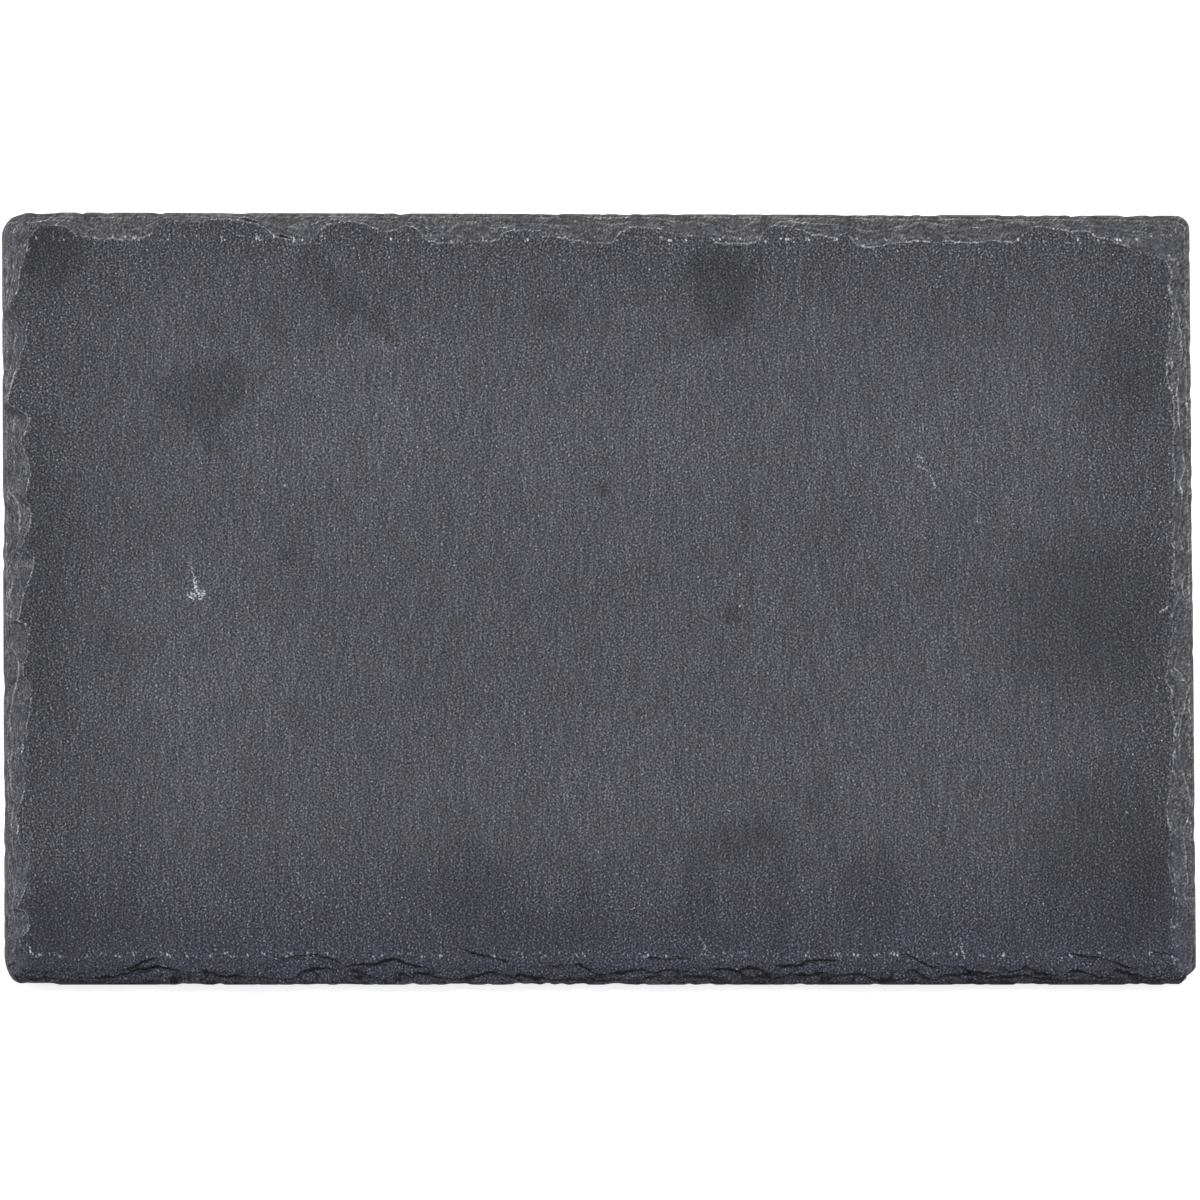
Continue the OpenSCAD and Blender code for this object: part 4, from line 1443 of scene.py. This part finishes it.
@dataclass(frozen=True)
class SlateFinish:
    """Riven slate: dark blue-grey, with fine grain, stains, pale knocks, fresher broken edges, and painted light and
    shade at its edges.
    """

    name: str = "riven_slate"

    # Colours, and from where to where along Y the light turns cold
    stone: Colour = (0.1010, 0.0986, 0.1146)
    cool: Colour = (0.0942, 0.0984, 0.1190)
    cool_range: Pair = (0.40, 0.62)
    shadow_tint: Colour = (0.96, 0.96, 1.14)
    cold_range: Pair = (-64.0 * MM, -96.0 * MM)
    deep_stone: Colour = (0.118, 0.114, 0.104)
    deep_range: Ends = (3.5 * MM, 0.5 * MM, 0.0, 0.55)
    deep_ridges: float = 0.6
    crushed: Colour = (0.70, 0.77, 0.82)
    # Painted shadows in the clefts under the front's layers and in the open slots
    cleft_shadow_colour: Colour = (0.0, 0.0, 0.0010)
    # Painted shadow on the front's steep foot
    foot_shadow_colour: Colour = (0.0004, 0.0004, 0.0022)
    rust: Colour = (0.105, 0.088, 0.062)
    rust_range: Ends = (0.0, 0.42 * MM, 0.55, 0.0)
    specular: float = 0.35
    sheen: Ends = (0.3, 0.7, 0.86, 0.66)
    dull: Pair = (0.9, 1.0)
    bump_strength: float = 0.6

    # Noises
    stir: Noise = Noise(1700.0, 3.0, 0.6)
    clouds: Noise = Noise(75.0, 5.0, 0.68)
    tints: Noise = Noise(150.0, 3.0, 0.6)
    patches: Noise = Noise(170.0, 3.0, 0.6)
    flames: Noise = Noise(420.0, 3.0, 0.6)
    strata: Noise = Noise(1.0, 3.0, 0.6)
    beats: Noise = Noise(70.0, 1.0, 0.5)
    crumbs: Noise = Noise(2100.0, 1.0, 0.5)

    # Shades
    level: float = 0.677
    level_swing: float = 0.10
    cloud_range: Pair = (0.3, 0.7)
    broken_gain: float = 1.12
    stain_gain: float = 1.22
    # Painted highlights on the light lines along the layers of the sides and the back
    ridge_highlight_gain: float = 1.9
    # Ridges lighter, partly paler crushed stone and partly painted highlight, and painted shade in the creases
    relief_gain: float = 0.65
    crease_loss: float = 0.42
    front_rough: float = 0.6

    # Grain, its contrast on the face, near its border and where it is broken, and the streaks across it
    grain_scale: float = 1500.0
    grain_wave: float = 0.95 * MM
    face_contrasts: Ends = (-0.30, -0.05, 6.2, 4.5)
    broken_contrasts: Pair = (2.9, 6.6)
    streak_scale: float = 2300.0
    streak_stretch: Triple = (1.0, 0.07, 1.0)
    streak_contrasts: Pair = (1.9, 0.3)
    streak_depth: float = 0.08 * MM

    # Thin layers in the broken stone, and the painted lines along the layers' edges: highlights on the sides and the
    # back, shadows on the front, and the painted shadow of the front's steep foot
    strata_across: float = 1.3
    strata_along: float = 360.0
    strata_contrast: float = 2.2
    strata_depth: float = 0.14 * MM
    arc_level: float = 0.52
    arc_range: Ends = (0.030, 0.010, 0.0, 0.8)
    patch_range: Ends = (0.38, 0.56, 0.1, 1.0)
    splinter_range: Ends = (0.435, 0.385, 0.0, 0.9)
    splinter_inset: Pair = (6.0 * MM, 2.0 * MM)
    shadow_line_width: float = 0.38
    shadow_line_strength: float = 0.96
    highlight_line_width: float = 0.42
    soft_rim: float = 1.2
    sharp_rim: float = 0.12
    foot_shadow_rag: float = 2.5
    foot_range: Ends = (0.25, -0.15, 0.0, 0.92)

    # The dressing tool's rows of marks: distances in from the outline, spacing, and where the rows stop
    front_row: float = 8.0 * MM
    side_rows: Ends = (135.0 * MM, 147.0 * MM, 6.8 * MM, 5.6 * MM)
    row_half_width: float = 0.7 * MM
    row_rims: Pair = (1.3, 0.7)
    row_ends: Pair = (86.5 * MM, 89.5 * MM)
    row_strengths: Ends = (0.0, 100.0 * MM, 0.2, 0.7)
    front_strengths: Ends = (-147.0 * MM, -125.0 * MM, 0.3, 0.85)
    tooth_gap: float = 5.4 * MM
    tooth_drift: float = 14.0
    tooth_range: Ends = (0.0, 0.5, 0.04, 1.0)
    bite_reach: float = 0.7 * MM
    slot_reach: float = 1.2 * MM
    speck_strength: float = 0.9
    dust_strength: float = 0.35
    crumb_range: Pair = (0.475, 0.545)

    # Stains: how far their rims flame, on the large and the small ones, and the size from which they are large
    flame_stretch: Triple = (1.0, 0.22, 1.0)
    flame_middle: Triple = (0.2, 0.5, 0.5)
    large_flames: Triple = (7.0 * MM, 24.0 * MM, 0.0)
    small_flames: Triple = (1.0 * MM, 2.5 * MM, 0.0)
    large_stain: float = 8.0

    def build(self, groups: EffectGroups) -> Material:
        """Builds the stone's material.

        Args:
            groups: the shared node groups.

        Returns:
            The new material.
        """
        material, graph, inputs = start_material(self.name)
        at = StoneGraph(graph.tree, groups, self)
        fine, streak = self._grain(at)
        ridge_highlights = self._ridge_highlights(at)
        shade = fine["Shade"] * streak["Shade"] * self._shade(at) * self._relief_shade(at, ridge_highlights)
        colour = at.mix(1.0, self._stone(at, ridge_highlights), at.grey(shade), "MULTIPLY")
        # The rust and the knocks are the stone's own colour; the foot and the clefts get painted shadow
        foot, cleft_shadows = self._foot_shadow(at), self._cleft_shadows(at)
        for mask, over in ((at.inset.spread(*self.rust_range) * at.side, self.rust), (foot, self.foot_shadow_colour),
                           (cleft_shadows, self.cleft_shadow_colour), (self._knocks(at), self.crushed)):
            colour = at.mix(mask, colour, over)
        at.feed(inputs["Base Color"], colour)
        dark, matt = self.dull
        at.feed(inputs["Roughness"], foot.larger(cleft_shadows).spread(0.0, dark, fine["Height"].spread(*self.sheen), matt))
        layers = at.strata * at.rough * self.strata_depth
        height = at.math("MULTIPLY_ADD", streak["Height"], self.streak_depth, layers)
        at.feed(inputs["Normal"], at.bump(height, self.bump_strength))
        inputs["Specular IOR Level"].default_value = self.specular
        return material

    def _grain(self, at: StoneGraph) -> tuple[dict[str, Value], dict[str, Value]]:
        """Riven grain, and the streaks along the board's width."""
        contrast = at.broken.between(at.tone.spread(*self.face_contrasts), at.front.between(*self.broken_contrasts))
        fine = at.group(at.groups.rivening, {
            "Vector": at.place, "Scale": self.grain_scale, "Frequency": 1 / (self.grain_wave * self.grain_scale),
            "Contrast": contrast})
        streak = at.group(at.groups.grain, {
            "Vector": at.place, "Stretch": self.streak_stretch, "Scale": self.streak_scale,
            "Contrast": at.rough.between(*self.streak_contrasts)})
        return fine, streak

    def _shade(self, at: StoneGraph) -> Value:
        """Shade of the face and the broken band, with the painted shade towards the edges, the stains and the thin
        layers.
        """
        levels = ((1 + swing) * self.level for swing in (-self.level_swing, self.level_swing))
        cloud = at.noise(at.place, self.clouds).spread(*self.cloud_range, *levels)
        layering = (at.strata - 0.5) * (at.rough * self.strata_contrast)
        tones = at.tone * (1.0 - at.banded) + at.band * at.banded
        tones = tones + self._stains(at) * (1.0 - at.broken) + layering
        return cloud * at.math("EXPONENT", tones) * at.rough.between(1.0, self.broken_gain)

    def _ridge_highlights(self, at: StoneGraph) -> Value:
        """Mask of the painted highlights along the broken layers of the sides and the back."""
        arcs = abs(at.strata - self.arc_level).spread(*self.arc_range) * at.broken
        patchy = at.noise(at.place, self.patches).spread(*self.patch_range)
        return self._edges(at, self.highlight_line_width).larger(arcs) * at.side * patchy

    def _relief_shade(self, at: StoneGraph, ridge_highlights: Value) -> Value:
        """Painted highlights on the light lines; lighter ridges, partly paler crushed stone and partly painted
        highlight; painted shade in the creases.
        """
        shade = ridge_highlights.between(1.0, 1.0 + self.ridge_highlight_gain) * at.relief.between(1.0, 1.0 + self.relief_gain)
        return shade * at.relief.spread(-1.0, 0.0, 1.0 - self.crease_loss, 1.0)

    def _stone(self, at: StoneGraph, ridge_highlights: Value) -> Value:
        """Colour of the stone before its shade, with a painted cold shadow tint towards the front."""
        cool = at.noise(at.place, self.tints).spread(*self.cool_range)
        deep = (ridge_highlights * self.deep_ridges).larger(at.banded * at.inset.spread(*self.deep_range))
        stone = at.mix(deep, at.mix(cool, self.stone, self.cool), self.deep_stone)
        light = at.mix(at.y.spread(*self.cold_range), WHITE, self.shadow_tint)
        return at.mix(1.0, stone, light, "MULTIPLY")

    def _foot_shadow(self, at: StoneGraph) -> Value:
        """Mask of the painted shadow on the steep foot of the front edge, which faces away from the lamps, with a
        ragged rim.
        """
        return (at.foot + at.ragged * self.foot_shadow_rag).spread(*self.foot_range) * at.front

    def _cleft_shadows(self, at: StoneGraph) -> Value:
        """Mask of the painted shadows under the front edge's layers and its splinters, and of the shade painted into
        the open slots.
        """
        splinters = at.strata.spread(*self.splinter_range) * at.inset.spread(*self.splinter_inset) * at.broken
        cleft_shadows = self._edges(at, self.shadow_line_width).larger(splinters) * (at.front * self.shadow_line_strength)
        return cleft_shadows.larger(self._strokes(at, self.slot_reach, SLOT_SHADOWS))

    def _stains(self, at: StoneGraph) -> Value:
        """Shade of the stains, as a power of e, with rims that run out along the grain in small flames."""
        smear = at.vector("MULTIPLY", at.place, self.flame_stretch)
        flames = at.stirring(smear, self.flames, self.flame_middle)
        flat = at.vector("MULTIPLY", at.place, FLAT)
        large, small = (at.moved(flat, flames, reach) for reach in (self.large_flames, self.small_flames))
        darker: object = 0.0
        lighter: object = 0.0
        for stain in STAINS:
            patch = at.group(at.groups.patch, {
                "Vector": large if stain.half_x + stain.half_y > self.large_stain else small,
                "Middle": (stain.x * MM, stain.y * MM, 0.0),
                "Size": (stain.half_x * MM, stain.half_y * MM, 1.0), "Turn": (0.0, 0.0, math.radians(stain.turn)),
                "Core": stain.core, "Shade": stain.shade})["Shade"]
            if stain.shade < 0:
                darker = at.math("MINIMUM", darker, patch)
            else:
                lighter = patch.larger(lighter)
        return at.math("MULTIPLY_ADD", darker, self.stain_gain, lighter)

    @staticmethod
    def _edges(at: StoneGraph, width: float) -> Value:
        """Mask of lines of a given half width, in millimetres, along the edges of all the layers."""
        total: object = 0.0
        for offset, bold in zip(at.offsets, at.bold):
            line = at.group(at.groups.edge_line, {"Offset": offset, "Bold": bold, "Width": width})
            total = line["Mask"].larger(total)
        return total

    @staticmethod
    def _strokes(at: StoneGraph, reach: float, strokes: tuple[Stroke, ...]) -> Value:
        """Mask of a set of short lines, such as scratches, that are ragged as far as reach."""
        flat = at.vector("MULTIPLY", at.moved(at.place, at.stir, (reach,) * 3), FLAT)
        total: object = 0.0
        for stroke in strokes:
            ends = {name: (x * MM, y * MM, 0.0) for name, (x, y) in (("Start", stroke.start), ("End", stroke.end))}
            line = at.group(at.groups.stroke, {"Vector": flat, "Half Width": stroke.half_width * MM, **ends})
            total = (line["Mask"] * stroke.strength).larger(total)
        return total

    def _row(self, at: StoneGraph) -> Value:
        """Mask of the dressing tool's row of marks round the face."""
        middle = at.front.between(at.x.spread(*self.side_rows), self.front_row)
        row = abs(at.inset - middle).spread(*(self.row_half_width * rim for rim in self.row_rims))
        front = at.front.between(1.0, at.x.spread(*self.front_strengths))
        ends = abs(at.y).spread(*self.row_ends, at.x.spread(*self.row_strengths), front)
        drift = at.noise(at.place, self.beats) * self.tooth_drift
        beat = at.math("MULTIPLY_ADD", at.x + at.y, 2 * math.pi / self.tooth_gap, drift)
        return row * ends * at.math("SINE", beat).spread(*self.tooth_range)

    def _knocks(self, at: StoneGraph) -> Value:
        """Mask of the crushed pale places: the dressing tool's row of marks, stray specks and scratches."""
        stirred = at.moved(at.place, at.stir, (self.bite_reach,) * 3)
        crumbs = at.noise(at.place, self.crumbs).spread(*self.crumb_range)
        total = self._strokes(at, self.bite_reach, STROKES) * crumbs
        for flecks, strength in ((BITES, self._row(at)), (SPECKS, self.speck_strength), (DUST, self.dust_strength)):
            mask = at.group(at.groups.flecks, {"Vector": stirred, **flecks})["Mask"]
            total = (mask * strength).larger(total)
        return total


@dataclass(frozen=True)
class FoamFinish:
    """Black closed-cell foam: matt, with small open cells where it was cut."""

    name: str = "black_foam"
    foam: Colour = (0.018, 0.018, 0.020)
    dust: Colour = (0.05, 0.05, 0.052)
    dust_range: Ends = (0.6, 0.8, 0.0, 0.5)
    cell_scale: float = 3200.0
    cell_radius: float = 0.55
    cell_share: float = 0.8
    cell_depth: float = 0.05 * MM
    grain_scale: float = 900.0
    grain_contrast: float = 1.2
    sheen: Pair = (0.78, 0.95)
    specular: float = 0.25
    bump_strength: float = 0.7

    def build(self, groups: EffectGroups) -> Material:
        """Builds the foam's material from the shared groups."""
        material, graph, inputs = start_material(self.name)
        place = graph.out("Object", "TexCoord")
        cells = graph.group(groups.flecks, {"Vector": place, "Stretch": EVEN, "Scale": self.cell_scale,
                                            "Radius": self.cell_radius, "Share": self.cell_share})["Mask"]
        grain = graph.group(groups.grain, {"Vector": place, "Stretch": EVEN, "Scale": self.grain_scale,
                                           "Contrast": self.grain_contrast})
        colour = graph.mix(1.0, self.foam, graph.grey(grain["Shade"]), "MULTIPLY")
        graph.feed(inputs["Base Color"], graph.mix(grain["Height"].spread(*self.dust_range), colour, self.dust))
        graph.feed(inputs["Roughness"], cells.between(*self.sheen))
        graph.feed(inputs["Normal"], graph.bump(cells * -self.cell_depth, self.bump_strength))
        inputs["Specular IOR Level"].default_value = self.specular
        return material


@dataclass(frozen=True)
class FilmFinish:
    """Double-sided adhesive film: pale, slightly yellow, with trapped air under it."""

    name: str = "adhesive_film"
    film: Colour = (0.60, 0.57, 0.47)
    clear: Colour = (0.46, 0.44, 0.38)
    grain_scale: float = 700.0
    grain_contrast: float = 0.8
    clear_range: Pair = (0.35, 0.65)
    sheen: Ends = (0.3, 0.7, 0.35, 0.6)

    def build(self, groups: EffectGroups) -> Material:
        """Builds the film's material from the shared groups."""
        material, graph, inputs = start_material(self.name)
        height = graph.group(groups.grain, {
            "Vector": graph.out("Object", "TexCoord"), "Stretch": EVEN, "Scale": self.grain_scale,
            "Contrast": self.grain_contrast})["Height"]
        graph.feed(inputs["Base Color"], graph.mix(height.spread(*self.clear_range), self.film, self.clear))
        graph.feed(inputs["Roughness"], height.spread(*self.sheen))
        return material


# Studio


@dataclass(frozen=True)
class Lamp:
    """A square soft lamp that looks at the board."""

    name: str
    place: Triple
    side: float
    power: float


@dataclass
class Studio:
    """The plain white floor, the soft lamps and the camera straight above the board."""

    floor_side: float = 6.0
    floor_shade: float = 0.85
    floor_rough: float = 0.9
    floor_glow: float = 0.8
    world_fill: float = 0.07
    lens: float = 200.0
    sensor: float = 36.0
    photo_pixels: int = 1200
    board_left_pixel: float = 1.8
    board_right_pixel: float = 1196.4
    board_top_pixel: float = 212.0
    board_bottom_pixel: float = 984.8
    lamps: tuple[Lamp, ...] = (
        Lamp("lamp_over", (0.0, 1.4, 2.3), 0.9, 51.0),
        Lamp("lamp_left", (-1.2, 0.3, 0.6), 0.6, 5.6),
        Lamp("lamp_right", (1.2, 0.3, 0.6), 0.6, 5.6),
    )

    def build_floor(self) -> None:
        """Makes the floor, white to the camera, which still takes the board's shadow."""
        half = self.floor_side / 2
        mesh = bpy.data.meshes.new("floor")
        mesh.from_pydata([(-half, -half, 0), (half, -half, 0), (half, half, 0), (-half, half, 0)], [], [(0, 1, 2, 3)])
        material, graph, inputs = start_material("white_floor")
        glow = self._seen(graph) * self.floor_glow
        for name, value in (("Base Color", (self.floor_shade,) * 3 + (1.0,)), ("Roughness", self.floor_rough),
                            ("Emission Color", (*WHITE, 1.0)), ("Emission Strength", glow)):
            graph.feed(inputs[name], value)
        mesh.materials.append(material)
        link_object("floor", mesh)

    @staticmethod
    def _seen(graph: Graph) -> Value:
        """1 for rays from the camera, and for those that gloss or glass sends on."""
        path = graph.named(graph.add("LightPath"))
        return path["Is Camera Ray"].larger(path["Is Glossy Ray"]).larger(path["Is Transmission Ray"])

    def build_world(self) -> None:
        """Makes the world, white to the camera and a soft fill for the board."""
        world = bpy.data.worlds.new("studio_world")
        bpy.context.scene.world = world
        world.use_nodes = True
        graph = Graph(world.node_tree)
        background = world.node_tree.nodes["Background"]
        graph.feed(background.inputs["Color"], (*WHITE, 1.0))
        graph.feed(background.inputs["Strength"], self._seen(graph).between(self.world_fill, 1.0))

    def build_lamps(self) -> None:
        """Hangs the lamps and turns them to the board."""
        for lamp in self.lamps:
            data = bpy.data.lights.new(lamp.name, "AREA")
            data.energy, data.size = lamp.power, lamp.side
            light = link_object(lamp.name, data)
            light.location = lamp.place
            light.rotation_mode = "QUATERNION"
            light.rotation_quaternion = (-Vector(lamp.place)).to_track_quat("-Z", "Y")

    def build_camera(self, outline_height: float, board_length: float) -> None:
        """Hangs the camera straight above, so that the outline fills the frame as in the photograph.

        Args:
            outline_height: height of the board's widest layer.
            board_length: length of the board there.
        """
        data = bpy.data.cameras.new("camera_above")
        data.lens, data.sensor_width = self.lens, self.sensor
        board_pixels = self.board_right_pixel - self.board_left_pixel
        frame_width = board_length * self.photo_pixels / board_pixels
        distance = frame_width * self.lens / self.sensor
        half_pixels = self.photo_pixels / 2
        off_x = half_pixels - (self.board_left_pixel + self.board_right_pixel) / 2
        off_y = (self.board_top_pixel + self.board_bottom_pixel) / 2 - half_pixels
        pixel = frame_width / self.photo_pixels
        data.clip_start, data.clip_end = distance / 100, distance * 100
        camera = link_object(data.name, data)
        camera.location = (off_x * pixel, off_y * pixel, outline_height + distance)
        bpy.context.scene.camera = camera


# Assembly


class SlateBoard:
    """The whole board: the slab, its feet and their films, dressed and riding on the one body."""

    def dress(self, piece: Object, material: Material, node: str) -> None:
        """Gives a piece its material, lets it stand for its CAD node and reports it.

        Args:
            piece: the new piece.
            material: its finish.
            node: the CAD node that it stands for.
        """
        piece.data.materials.clear()
        piece.data.materials.append(material)
        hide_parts(node)
        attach(piece, ROOT_BODY)
        LOG.info("%s stands for %s", piece.name, node)

    def build(self) -> None:
        """Builds and dresses every piece."""
        groups = EffectGroups()
        slate, foam, film = (finish.build(groups) for finish in (SlateFinish(), FoamFinish(), FilmFinish()))
        slab = SlateSlab(*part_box("slate_slab"))
        self.dress(slab.build(), slate, slab.node)
        for corner in Corner:
            foot = FoamFoot(corner)
            self.dress(foot.build_pad(), foam, foot.pad_node)
            self.dress(foot.build_film(), film, foot.film_node)


def main() -> None:
    """Builds the studio and the board."""
    logging.basicConfig(level=logging.INFO, format="%(name)s: %(message)s")
    bpy.context.scene.view_settings.view_transform = "Standard"
    board_low, board_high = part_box("slate_slab")
    studio = Studio()
    studio.build_camera(board_low.z + SlateSlab.arris_height, board_high.x - board_low.x)
    studio.build_floor()
    studio.build_world()
    studio.build_lamps()
    SlateBoard().build()


if __name__ == "__main__":
    main()
